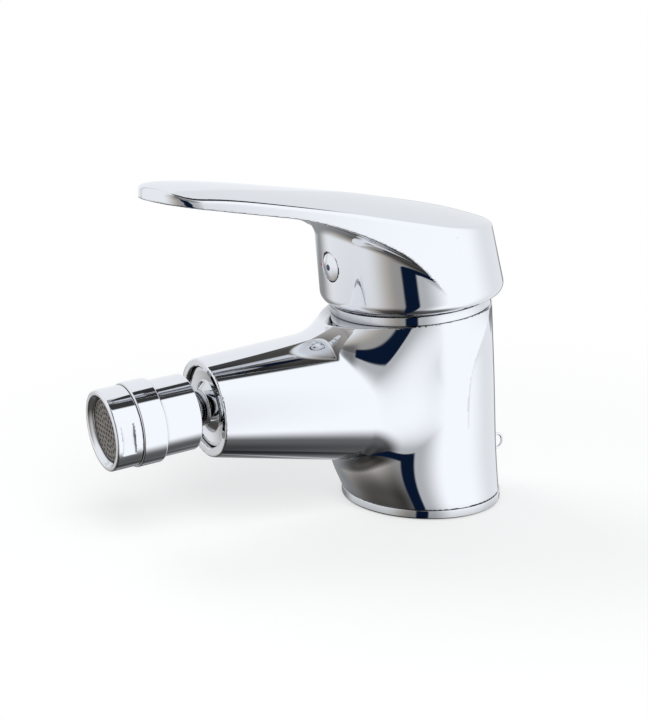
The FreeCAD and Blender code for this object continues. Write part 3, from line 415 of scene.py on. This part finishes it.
COLLAR_START, COLLAR_END, SHELL_END, MOUTH = 5.5, 16.9, 24.3, 32.3
collar = spun("swivel_collar_turned", [
    (8.65, COLLAR_START, 0.25), (11.4, COLLAR_START, 0.6), (11.4, COLLAR_END, 0.2),
    (10.0, COLLAR_END, 0.1), (10.0, BALL, 0.1), (9.55, BALL, 0.1), (9.32, 9.7, 0.6),
    (8.62, 7.69, 0.1), (8.22, 7.64, 0.1),
], SPOUT)
fit(collar, "nozzle", "chrome_plate", "swivel_collar")

shell = spun("swivel_shell_turned", [
    (7.0, 17.77, 0.1), (8.8, 17.77, 0.1), (8.8, 15.7, 0.1), (9.94, 15.7, 0.1),
    (9.94, COLLAR_END, 0.1), (12.5, COLLAR_END, 0.45), (12.5, SHELL_END, 0.45),
    (10.96, SHELL_END, 0.1), (10.96, 20.0, 0.1), (7.0, 20.0, 0.1),
], SPOUT)
fit(shell, "nozzle", "chrome_plate", "swivel_shell")

# %% [markdown]
# ## Blended castings
#
# The body and the handle have no straight run to spin or sweep. The body is a leaning barrel
# whose chin swells forward low down, and a tapered spout flows into it through a blend that
# grows from 4 mm underneath to 14 mm on top, and is tight at the sides. Modelled with
# subdivision surfaces, such a blend has faint dents where loops meet, and chrome shows every
# one of them.
#
# So each casting is written as one smooth function of space that is negative inside the metal,
# like the distance to the skin. Two shapes are joined by a rounded minimum or cut by a rounded
# maximum, whose radius is the real fillet. The skin is then meshed where the function is
# zero, and the function's own slope gives each vertex its exact normal.

# %% Rounded joins and cuts
def meet(a, b, radius):
    """Keeps what is inside both shapes, with the edge between them rounded."""
    corner = np.sqrt(np.maximum(radius + a, 0) ** 2 + np.maximum(radius + b, 0) ** 2)
    return np.minimum(-radius, np.maximum(a, b)) + corner


def join(a, b, radius):
    """Keeps what is inside either shape, with a fillet between them."""
    return -meet(-a, -b, radius)


def cut(a, b, radius):
    """Takes shape b out of shape a, with the edge rounded."""
    return meet(a, -b, radius)


def ease(value, low, high):
    """Rises smoothly from 0 at low to 1 at high."""
    share = np.clip((value - low) / (high - low), 0, 1)
    return share * share * (3 - 2 * share)


def spline(stations):
    """A natural cubic through (place, height) stations, as a function of place."""
    xs, ys = np.array(stations, float).T
    gaps = np.diff(xs)
    system, right = np.eye(len(xs)), np.zeros(len(xs))
    for i in range(1, len(xs) - 1):
        system[i, i - 1:i + 2] = gaps[i - 1], 2 * (gaps[i - 1] + gaps[i]), gaps[i]
        right[i] = 6 * ((ys[i + 1] - ys[i]) / gaps[i] - (ys[i] - ys[i - 1]) / gaps[i - 1])
    bend = np.linalg.solve(system, right)

    def height(x):
        x = np.clip(x, xs[0], xs[-1])
        i = np.clip(np.searchsorted(xs, x) - 1, 0, len(xs) - 2)
        a, b = (xs[i + 1] - x) / gaps[i], (x - xs[i]) / gaps[i]
        curve = (a ** 3 - a) * bend[i] + (b ** 3 - b) * bend[i + 1]
        return a * ys[i] + b * ys[i + 1] + curve * gaps[i] ** 2 / 6

    return height


print("fillet between two walls:", float(join(np.array(1.0), np.array(1.0), 4.0)))

# %% A mesher for such shapes
def gradient(shape, points, reach=0.01):
    """The shape's slope at each point, by central differences."""
    slopes = []
    for axis in range(3):
        step = np.zeros(3)
        step[axis] = reach
        slopes.append(shape(*(points + step).T) - shape(*(points - step).T))
    return np.stack(slopes, 1) / (2 * reach)


def settle(shape, points, rounds):
    """Moves points along the slope until they lie on the skin."""
    for _ in range(rounds):
        slope = gradient(shape, points)
        size = np.maximum((slope ** 2).sum(1), 0.05)
        points = points - slope * (shape(*points.T) / size)[:, None]
    return points


def skin(name, shape, low, high, step, finish=chrome):
    """Meshes the skin of a shape: a vertex in each grid cell that it crosses, then quads."""
    axes = [np.arange(a - 2 * step, b + 3 * step, step) for a, b in zip(low, high)]
    inside = shape(*np.meshgrid(*axes, indexing="ij")) < 0
    counts = np.zeros([n - 1 for n in inside.shape], np.int8)
    for corner in np.ndindex(2, 2, 2):
        counts += inside[tuple(slice(c, c + n) for c, n in zip(corner, counts.shape))]
    cells = np.argwhere((counts > 0) & (counts < 8))
    number = np.full(counts.shape, -1)
    number[tuple(cells.T)] = np.arange(len(cells))
    points = np.array([axis[0] for axis in axes]) + (cells + 0.5) * step
    quads = []
    for axis in range(3):
        before = np.take(inside, range(inside.shape[axis] - 1), axis)
        after = np.take(inside, range(1, inside.shape[axis]), axis)
        for leaving in (True, False):
            edges = np.argwhere(before & ~after if leaving else after & ~before)
            ring = []
            for turn, lift in ((-1, -1), (0, -1), (0, 0), (-1, 0)):
                cell = edges.copy()
                cell[:, (axis + 1) % 3] += turn
                cell[:, (axis + 2) % 3] += lift
                ring.append(number[tuple(cell.T)])
            quads.append(np.stack(ring if leaving else ring[::-1], 1))
    quads = np.concatenate(quads)
    points = settle(shape, points, 3)
    for _ in range(2):
        total, share = np.zeros_like(points), np.zeros(len(points))
        middle = points[quads].mean(1)
        for corner in quads.T:
            np.add.at(total, corner, middle)
            np.add.at(share, corner, 1)
        points = settle(shape, total / share[:, None], 2)
    normals = gradient(shape, points)
    normals /= np.linalg.norm(normals, axis=1)[:, None]
    return make_mesh(name, points, quads.tolist(), normals, finish)


# %% [markdown]
# ## The body
#
# Measured up the barrel, the section stays 25.7 mm in radius, and the chin pushes its front
# forward by up to 2.1 mm, most at 17 mm above the deck. The spout is a straight cone, 29.7 mm
# across at its end. It is bored for the swivel: a recess 3 mm deep behind a 2.5 mm wide rim,
# then the thread. The seat for the cartridge is bored from the top, and the two tail holes and
# the stud hole come up from underneath.

# %% The body's shape
BARREL_RADIUS = 25.7
SEAT_RADIUS, SEAT_FLOOR = 20.0, 36
NECK_RADIUS, NECK_FLOOR = 22.25, 61
RECESS_RADIUS, RECESS_DEPTH = 12.3, 3
THREAD_RADIUS, THREAD_DEPTH = 11.5, 13
FOOT_RADIUS = 21.5
chin = spline([(-20, 0), (FOOT, 0), (9, 1.2), (17, 2.1), (30, 1.1), (44, 0), (60, 0), (90, 0)])
SPOUT_ROOT = np.array([0.0, -10.0, 37.4])
SPOUT_RUN = SPOUT_ROOT - SPOUT_END
SPOUT_RUN_LENGTH = float(np.linalg.norm(SPOUT_RUN))
SPOUT_RUN = SPOUT_RUN / SPOUT_RUN_LENGTH
END_RADIUS, ROOT_RADIUS = 14.86, 24.2


def hole(x, y, z, at_x, at_y, radius, depth):
    """A round hole drilled upwards from the underside."""
    return meet(np.hypot(x - at_x, y - at_y) - radius, z - depth, 0.05)


def body_shape(x, y, z):
    depth, height = to_head(y, z)
    swell = np.maximum(chin(z), 0)
    squeeze = BARREL_RADIUS / (BARREL_RADIUS + swell)
    run = (y + z * math.tan(HEAD_LEAN) + swell) * squeeze * math.cos(HEAD_LEAN)
    barrel = np.hypot(x, run) - BARREL_RADIUS
    along = (y - SPOUT_END[1]) * SPOUT_RUN[1] + (z - SPOUT_END[2]) * SPOUT_RUN[2]
    across = (z - SPOUT_END[2]) * SPOUT_RUN[1] - (y - SPOUT_END[1]) * SPOUT_RUN[2]
    widening = (ROOT_RADIUS - END_RADIUS) / SPOUT_RUN_LENGTH
    cone = np.hypot(x, across) - END_RADIUS - widening * along
    facing = 1 - x ** 2 / (np.hypot(x, run) * np.hypot(x, across) + 0.001)
    fillet = 1.5 + (2.5 + 5 * ease(z, 18, 38) + 5 * ease(z, 40, 60)) * ease(facing, 0.0, 0.45)
    metal = join(barrel, np.maximum(cone, y + 2), fillet)
    lift, out = to_spout(y, z)
    metal = meet(metal, out, 0.35)
    metal = meet(metal, height - BARREL_TOP, 0.25)
    metal = meet(metal, FOOT - z, 0.25)
    foot = meet(np.hypot(x, y) - FOOT_RADIUS, np.maximum(z - FOOT - 1, 0.02 - z), 0.1)
    metal = join(metal, foot, 0.02)
    from_head = np.hypot(x, depth)
    seat = meet(from_head - SEAT_RADIUS, SEAT_FLOOR - height, 0.1)
    bore = np.minimum(seat, meet(from_head - NECK_RADIUS, NECK_FLOOR - height, 0.1))
    from_spout = np.hypot(x, lift)
    recess = meet(from_spout - RECESS_RADIUS, -RECESS_DEPTH - out, 0.15)
    recess = np.minimum(recess, meet(from_spout - THREAD_RADIUS, -THREAD_DEPTH - out, 0.1))
    ports = np.minimum(hole(x, y, z, 8, -4.5, 4.5, 12), hole(x, y, z, -8, -4.5, 4.5, 12))
    ports = np.minimum(ports, hole(x, y, z, 0, 11.5, 3.4, 15))
    return cut(cut(metal, np.minimum(bore, recess), 0.25), ports, 0.15)


body = skin("body_casting_polished", body_shape, (-26, -82, 0), (26, 29, 69), 0.6)
fit(body, "base", "chrome_plate", "body_casting")

# %% [markdown]
# ## The handle
#
# Seen from above the handle is a keyhole: the round cup over the cartridge, and a blade that
# narrows from it to a round tip. Its crowned top falls from tip to heel, and meets the sides in
# a crease about 1 mm round. Below, the blade's underside sweeps down into the front of the cup
# in one arc. The cup tapers upwards, leans forward a little, and rolls under at its rim, which
# floats 0.35 mm above the cover ring.
#
# The crown is given by stations along the blade: how high its ridge is, and the radius of its
# cross curve, which is tight at the tip and nearly flat over the cup.

# %% The handle's outer shape
RIM = 67.65
CROWN = [
    (-93, 108.8, 24), (-87, 114.9, 24), (-80, 115.9, 25), (-68, 114.0, 36), (-52, 110.6, 49),
    (-35, 106.7, 61), (-18, 102.7, 67), (-2, 98.4, 81), (14, 93.7, 96), (26, 89.0, 96),
    (36, 84.2, 96),
]
ridge = spline([(place, height) for place, height, radius in CROWN])
arch = spline([(place, radius) for place, height, radius in CROWN])
TIP_RADIUS, TIP_REACH = 14.5, 72.5


def circle_through(a, b, c):
    """Centre and radius of the circle through three points."""
    rows = 2 * np.array([np.subtract(b, a), np.subtract(c, a)])
    right = [np.dot(b, b) - np.dot(a, a), np.dot(c, c) - np.dot(a, a)]
    centre = np.linalg.solve(rows, right)
    return centre, float(np.linalg.norm(np.subtract(a, centre)))


ARC_CENTRE, ARC_RADIUS = circle_through((-50, 103.0), (-22, 90.6), (0, 72.0))
BLADE_SLOPE = (103.0 - 117.4) / 60
print("underside arc radius:", round(ARC_RADIUS, 1), "mm")


def keyhole(x, y, height, hub_radius, hub_y):
    """Distance to the outline that wraps the cup's circle and the tip's circle."""
    tip_radius = TIP_RADIUS + 0.1 * (112 - height)
    length = hub_y + TIP_REACH
    lean = (hub_radius - tip_radius) / length
    straight = np.sqrt(1 - lean * lean)
    side, ahead = np.abs(x), hub_y - y
    place = ahead * straight - side * lean
    hub = np.hypot(side, ahead) - hub_radius
    tip = np.hypot(side, ahead - length) - tip_radius
    flank = side * straight + ahead * lean - hub_radius
    return np.where(place < 0, hub, np.where(place > straight * length, tip, flank))


def handle_outside(x, y, height):
    above = height - RIM
    hub_radius, hub_y = 29.2 - 0.076 * above, 1.0 - 0.105 * above
    cup = (np.hypot(x, y - hub_y) - hub_radius) * 0.995
    plan = keyhole(x, y, height, hub_radius, hub_y)
    slope_line = (117.4 + BLADE_SLOPE * (y + 110) - height) / math.hypot(1, BLADE_SLOPE)
    arc = ARC_RADIUS - np.hypot(y - ARC_CENTRE[0], height - ARC_CENTRE[1])
    under = np.where(y < -50, slope_line, np.where(y > 0, 50.0, arc))
    crease = 0.05 + 0.45 * ease(-y, 8, 16)
    metal = meet(plan, join(cup, under, 2.8), crease)
    radius = np.maximum(arch(y), 5)
    crown = ridge(y) - radius + np.sqrt(np.maximum(radius ** 2 - x ** 2, 1.0))
    metal = meet(metal, (height - crown) * 0.97, 1.0)
    return meet(metal, RIM - height, 3.6)


# %% [markdown]
# Inside, the cup is hollow for the cartridge's neck and for the body as the lever is lifted. A
# boss hangs from its roof over the spindle, and a web carries the boss to the front wall, where
# the screw's hole comes in behind the index button.

# %% The handle's inside, and its mesh
BUTTON_HEIGHT = 81.6
PIVOT = 66.0
LIFT = math.radians(22)
CAVITY_RADIUS, CAVITY_TOP = 24.4, 87
SKIRT_RADIUS, SKIRT_TOP = 26.6, 75
BOSS_RADIUS, BOSS_FOOT = 8, 77.5
RELIEF_RADIUS = 27.71


def box(x, y, z, half_x, back, front, low, high):
    return np.maximum.reduce([np.abs(x) - half_x, back - y, y - front, low - z, z - high])


def handle_shape(x, y, z):
    depth, height = to_head(y, z)
    metal = handle_outside(x, depth, height)
    from_axis = np.hypot(x, depth)
    web = box(x, depth, height, 4.5, -26, 0, BOSS_FOOT, 90)
    boss = np.minimum(np.maximum(from_axis - BOSS_RADIUS, BOSS_FOOT - height), web)
    cavity = cut(np.maximum(from_axis - CAVITY_RADIUS, height - CAVITY_TOP), boss, 0.1)
    skirt = np.maximum(np.hypot(x, depth - 1.0) - SKIRT_RADIUS, height - SKIRT_TOP)
    cavity = np.minimum(cavity, skirt)
    socket = box(x, depth, height, 4.05, -3.55, 3.55, 70, 86)
    swung_depth = depth * math.cos(LIFT) + (height - PIVOT) * math.sin(LIFT)
    swung_height = (height - PIVOT) * math.cos(LIFT) - depth * math.sin(LIFT) + PIVOT
    relief = np.maximum(np.hypot(x, swung_depth) - RELIEF_RADIUS, swung_height - RIM)
    from_screw = np.hypot(x, height - BUTTON_HEIGHT)
    screw = np.maximum(from_screw - 2.55, depth)
    seat = np.maximum(from_screw - 4.6, depth + 26)
    hollow = np.minimum(np.minimum(cavity, socket), np.minimum(relief, np.minimum(screw, seat)))
    return cut(metal, hollow, 0.15)


handle = skin("lever_handle_polished", handle_shape, (-30, -98, 58), (30, 26, 110), 0.55)
fit(handle, "lever", "chrome_plate", "lever_handle")

# %% The index button
OUTWARD = HEAD @ Matrix.Translation((0, 0, BUTTON_HEIGHT)) @ Matrix.Rotation(math.pi / 2, 4, "X")
button = spun("index_button_turned", [
    (0.78, 26.0, 0.1), (4.4, 26.0, 0.1), (4.4, 28.155, 0.15), (2.665, 28.896, 11.0),
    (0.78, 29.03, 0.04),
], OUTWARD)
fit(button, "lever", "chrome_plate", "index_button")

# %% The blue and red marks
blue_dot = spun("blue_dot", [
    (0.0, 28.5, 0.0), (1.0, 28.5, 0.05), (1.0, 29.05, 0.06), (0.0, 29.2, 0.0),
], OUTWARD, blue_enamel)
fit(blue_dot, "lever", "blue_enamel", "blue_mark")
MARK_TURN, MARK_DEPTH = math.radians(-11.48), 28.47
MARK_SPOT = Matrix.Translation((
    MARK_DEPTH * math.sin(MARK_TURN), -MARK_DEPTH * math.cos(MARK_TURN), BUTTON_HEIGHT,
))
MARK_AXIS = Matrix.Rotation(MARK_TURN, 4, "Z") @ Matrix.Rotation(math.pi / 2, 4, "X")
RED_SPOT = HEAD @ MARK_SPOT @ MARK_AXIS
red_dot = spun("red_dot", [
    (0.0, -0.6, 0.0), (0.72, -0.6, 0.05), (0.72, 0.1, 0.08), (0.0, 0.24, 0.0),
], RED_SPOT, red_enamel)
fit(red_dot, "lever", "red_enamel", "red_mark")

# %% [markdown]
# ## The aerator
#
# The housing at the mouth screws into the shell and has two flats for a 22 mm spanner. Behind
# its rim sits a moulded insert, pierced by rings of fine holes that break the water up. Both
# are cut from plain turned forms, so they are written as shapes again, about the spout's axis.

# %% Housing and pierced insert
def housing_shape(x, y, z):
    lift, out = to_spout(y, z)
    around = np.hypot(x, lift)
    rim = meet(meet(around - 11.95, out - MOUTH, 0.6), SHELL_END - out, 0.3)
    thread = np.maximum(around - 10.9, np.maximum(21.5 - out, out - SHELL_END - 1))
    flare = 9.4 + 1.0 * ease(out, 30.6, MOUTH)
    metal = cut(np.minimum(rim, thread), np.maximum(around - flare, 20 - out), 0.3)
    flats = np.maximum(11.0 - np.abs(x), np.abs(out - 28.6) - 1.9)
    return cut(metal, flats, 0.12)


HOLE_RINGS, HOLE_PITCH, HOLE_RADIUS = 5, 1.65, 0.48


def insert_shape(x, y, z):
    lift, out = to_spout(y, z)
    around = np.hypot(x, lift)
    plate = meet(around - 9.3, np.abs(out - 26.0) - 4.5, 0.3)
    plate = cut(plate, np.maximum(around - 8.4, out - 29.0), 0.1)
    hole = around - HOLE_RADIUS
    for number in range(1, HOLE_RINGS + 1):
        pitch = 2 * math.pi / (6 * number)
        angle = np.arctan2(lift, x)
        nearest = angle - np.round(angle / pitch) * pitch
        reach = np.hypot(around * np.cos(nearest) - HOLE_PITCH * number, around * np.sin(nearest))
        hole = np.minimum(hole, reach - HOLE_RADIUS)
    return cut(plate, hole, 0.06)


MOUTH_LOW, MOUTH_HIGH = (-12.5, -113, 22.5), (12.5, -99, 51)
housing = skin("aerator_housing_polished", housing_shape, MOUTH_LOW, MOUTH_HIGH, 0.3)
fit(housing, "nozzle", "chrome_plate", "aerator_housing")
insert = skin("aerator_insert_pierced", insert_shape, MOUTH_LOW, MOUTH_HIGH, 0.2, grey_acetal)
fit(insert, "nozzle", "grey_acetal", "aerator_insert")

# %% [markdown]
# ## The pieces that stay as packed
#
# The cartridge, the seals, the spindle and the small fixings keep their CAD shapes. Each takes
# the finish that the record names for it.

# %% Finishes on the CAD pieces
slots = {entry["node"]: entry["material_slot"] for entry in frame["record"]["subparts"]}
for name, node in frame["nodes"].items():
    for holder in node.material_slots:
        holder.link = "OBJECT"
        holder.material = FINISHES[slots[name]]
print("CAD pieces with their own finish:", len(slots))

# %% [markdown]
# ## The studio
#
# A chrome piece is photographed inside a tent of white cloth, because what the eye reads as
# its shape is the tent's reflection. This one has a large bright panel on each side of the
# mixer, a roof left open above it, and a tall slit in front where the camera looks in. The slit
# and the open roof reflect as the dark lines that draw the chrome's form. In front the cloth
# is in shade and hangs over warm grey card, which fills the front of the cup and the chin.
#
# The tent is a dome of cloth that only reflections see. Each patch of it glows as the cloth
# there would, as a smooth function of its direction: the azimuth runs from the spout's side
# towards the mixer's right, and the elevation runs up from the deck.

# %% The glow of the tent
def patch(azimuth, elevation, across, up, edge):
    """1 inside a window of directions, falling to 0 over the edge, in degrees."""
    inside = 1.0
    for angle, (low, high) in ((azimuth, across), (elevation, up)):
        inside = inside * ease(angle, low - edge, low + edge)
        inside = inside * ease(-angle, -high - edge, edge - high)
    return inside


SLIT_ACROSS, SLIT_UP, SLIT_EDGE = (51, 69), (-85, 46), 1.5
ROOF_AZIMUTH, ROOF_ELEVATION = 170, 78
ROOF_RADIUS, ROOF_EDGE = 17, 2
COOL, WARM = np.array([0.94, 0.97, 1.0]), np.array([1.0, 0.95, 0.88])
NAVY = np.array([0.003, 0.009, 0.028])


def roof_opening(azimuth, elevation):
    """1 inside the round opening in the roof, falling to 0 over its edge."""
    height, middle = np.radians(elevation), math.radians(ROOF_ELEVATION)
    level = np.cos(height) * math.cos(middle) * np.cos(np.radians(azimuth - ROOF_AZIMUTH))
    nearness = np.sin(height) * math.sin(middle) + level
    outer = math.cos(math.radians(ROOF_RADIUS + ROOF_EDGE))
    inner = math.cos(math.radians(ROOF_RADIUS - ROOF_EDGE))
    return ease(nearness, outer, inner)


def tent_colour(azimuth, elevation):
    """Linear red, green and blue of the cloth in each direction."""
    # The side cloths. Both are darker near the deck, and the left one hangs high.
    low = 0.12 + 0.88 * ease(elevation, -66, -44)
    left = 0.98 * ease(-azimuth, 62, 80) * ease(elevation, -17, -6)
    left = np.maximum(left, 0.07 + 0.24 * ease(elevation, -66, -22))
    right = (0.5 + 0.64 * ease(azimuth, 74, 108) - 0.24 * ease(azimuth, 138, 180)) * low
    glow = np.where(azimuth < 60, left, right)
    # Behind the mixer, with one shaded fold.
    behind = (0.9 - 0.68 * patch(azimuth, elevation, (-146, -122), (-90, -4), 4)) * low
    glow = np.where(azimuth < -121, behind, glow)
    # The shaded cloth in front, darkest low down and next to the slit.
    front = ease(-np.abs(azimuth + 12), -76, -44)
    shade = (0.08 + 0.9 * ease(elevation, -58, -10)) * (1 - 0.62 * ease(azimuth, 4, 44))
    glow = glow + (shade - glow) * front
    # The slit, the grey cloth above it, the opening in the roof and the dim deck.
    slit = patch(azimuth, elevation, SLIT_ACROSS, SLIT_UP, SLIT_EDGE)
    glow = glow * (1 - slit)
    glow = glow * (1 - 0.55 * patch(azimuth, elevation, (40, 95), (44, 70), 8))
    glow = glow * (1 - 0.96 * roof_opening(azimuth, elevation))
    glow = glow * (1 - 0.5 * ease(-elevation, 66, 78))
    # The dark parts in front are warm card. The rest of the cloth is a cool white.
    tint = ease(1 - glow, 0.15, 0.6)[..., None] * front[..., None]
    return glow[..., None] * (COOL * (1 - tint) + WARM * tint) + NAVY * slit[..., None]


TENT_MIDDLE = Vector((0, -0.02, 0.06))
TENT_RADIUS = 1.6
across, up = np.meshgrid(np.linspace(-180, 180, 481), np.linspace(-90, 90, 241))
heading = np.stack([
    np.sin(np.radians(across)) * np.cos(np.radians(up)),
    -np.cos(np.radians(across)) * np.cos(np.radians(up)),
    np.sin(np.radians(up)),
], -1)
index = np.arange(across.size).reshape(across.shape)
quads = np.stack([index[:-1, :-1], index[1:, :-1], index[1:, 1:], index[:-1, 1:]], -1)
quads = quads.reshape(-1, 4)
tent_mesh = bpy.data.meshes.new("tent")
dome = heading.reshape(-1, 3) * TENT_RADIUS + np.array(TENT_MIDDLE)
tent_mesh.from_pydata(dome.tolist(), [], quads.tolist())
cloth = tent_mesh.color_attributes.new("cloth", "FLOAT_COLOR", "POINT")
colours = np.concatenate([tent_colour(across, up), np.ones(across.shape)[..., None]], -1)
cloth.data.foreach_set("color", colours.ravel())
tent = bpy.data.objects.new("tent", tent_mesh)
scene.collection.objects.link(tent)
glowing = bpy.data.materials.new("lit_cloth")
glowing.use_nodes = True
tree = glowing.node_tree
tree.nodes.clear()
dye = add(tree, "Attribute", attribute_name="cloth")
light = add(tree, "Emission", {"Color": dye.outputs["Color"], "Strength": 1.0})
add(tree, "OutputMaterial", {"Surface": light.outputs["Emission"]})
tent_mesh.materials.append(glowing)
tent.visible_camera = False
tent.visible_diffuse = False
tent.visible_shadow = False
brightness = colours[..., 0]
print("tent glow:", round(float(brightness.min()), 2), "to", round(float(brightness.max()), 2))

# %% [markdown]
# ## Floor, world and lamps
#
# The mixer stands on a pale board. Close to it the board takes its light from the lamps, so
# the contact shadow is real; further out it fades to the white of the background. Two soft
# lamps and an even world light everything that isn't a mirror, at a level where a white piece
# comes out just under white.

# %% Floor
FLOOR_HALF = 3.0
floor_mesh = bpy.data.meshes.new("floor")
floor_mesh.from_pydata([
    (-FLOOR_HALF, -FLOOR_HALF, -0.0002), (FLOOR_HALF, -FLOOR_HALF, -0.0002),
    (FLOOR_HALF, FLOOR_HALF, -0.0002), (-FLOOR_HALF, FLOOR_HALF, -0.0002),
], [], [(0, 1, 2, 3)])
floor = bpy.data.objects.new("floor", floor_mesh)
scene.collection.objects.link(floor)
board = bpy.data.materials.new("pale_board")
board.use_nodes = True
tree = board.node_tree
tree.nodes.clear()
paint = add(tree, "BsdfDiffuse", {"Color": linear("#F6F6F5")})
glare = add(tree, "Emission", {"Color": linear("#FFFFFF"), "Strength": 1.0})
where = add(tree, "NewGeometry")
distance = add(tree, "VectorMath", {0: where.outputs["Position"]}, operation="LENGTH")
fade = add(tree, "MapRange", {
    "Value": distance.outputs["Value"],
    "From Min": 0.06, "From Max": 0.26, "To Min": 0.45, "To Max": 1.0,
}, interpolation_type="SMOOTHSTEP")
share = add(tree, "Math", {0: pictured(tree), 1: fade.outputs["Result"]}, operation="MULTIPLY")
mixed = add(tree, "MixShader", {
    0: share.outputs[0], 1: paint.outputs["BSDF"], 2: glare.outputs["Emission"],
})
add(tree, "OutputMaterial", {"Surface": mixed.outputs["Shader"]})
floor_mesh.materials.append(board)
floor.visible_glossy = False
print("floor:", 2 * FLOOR_HALF, "m square")

# %% World and lamps
world = bpy.data.worlds.new("studio")
world.use_nodes = True
tree = world.node_tree
tree.nodes.clear()
fill = add(tree, "Background", {"Color": linear("#F4F6FA"), "Strength": 0.55})
backdrop = add(tree, "Background", {"Color": linear("#FFFFFF"), "Strength": 1.0})
mixed = add(tree, "MixShader", {0: pictured(tree), 1: fill.outputs[0], 2: backdrop.outputs[0]})
add(tree, "OutputWorld", {"Surface": mixed.outputs["Shader"]})
scene.world = world


def softbox(name, place, target, size, power):
    """A square lamp that faces its target and doesn't show in the chrome."""
    lamp_data = bpy.data.lights.new(name, "AREA")
    lamp_data.size = size
    lamp_data.energy = power
    lamp = bpy.data.objects.new(name, lamp_data)
    lamp.location = place
    lamp.rotation_euler = (Vector(target) - Vector(place)).to_track_quat("-Z", "Y").to_euler()
    lamp.visible_glossy = False
    scene.collection.objects.link(lamp)
    return lamp


MIXER_MIDDLE = (0, -0.03, 0.05)
key = softbox("key_lamp", (0.9, -0.3, 1.0), MIXER_MIDDLE, 0.8, 11)
side = softbox("side_lamp", (-0.9, -0.5, 0.8), MIXER_MIDDLE, 0.9, 6)
print("lamps:", key.name, side.name)

# %% [markdown]
# ## Last looks
#
# The picture is kept plain: Blender's Standard view shows each colour as written.

# %% View
scene.view_settings.view_transform = "Standard"
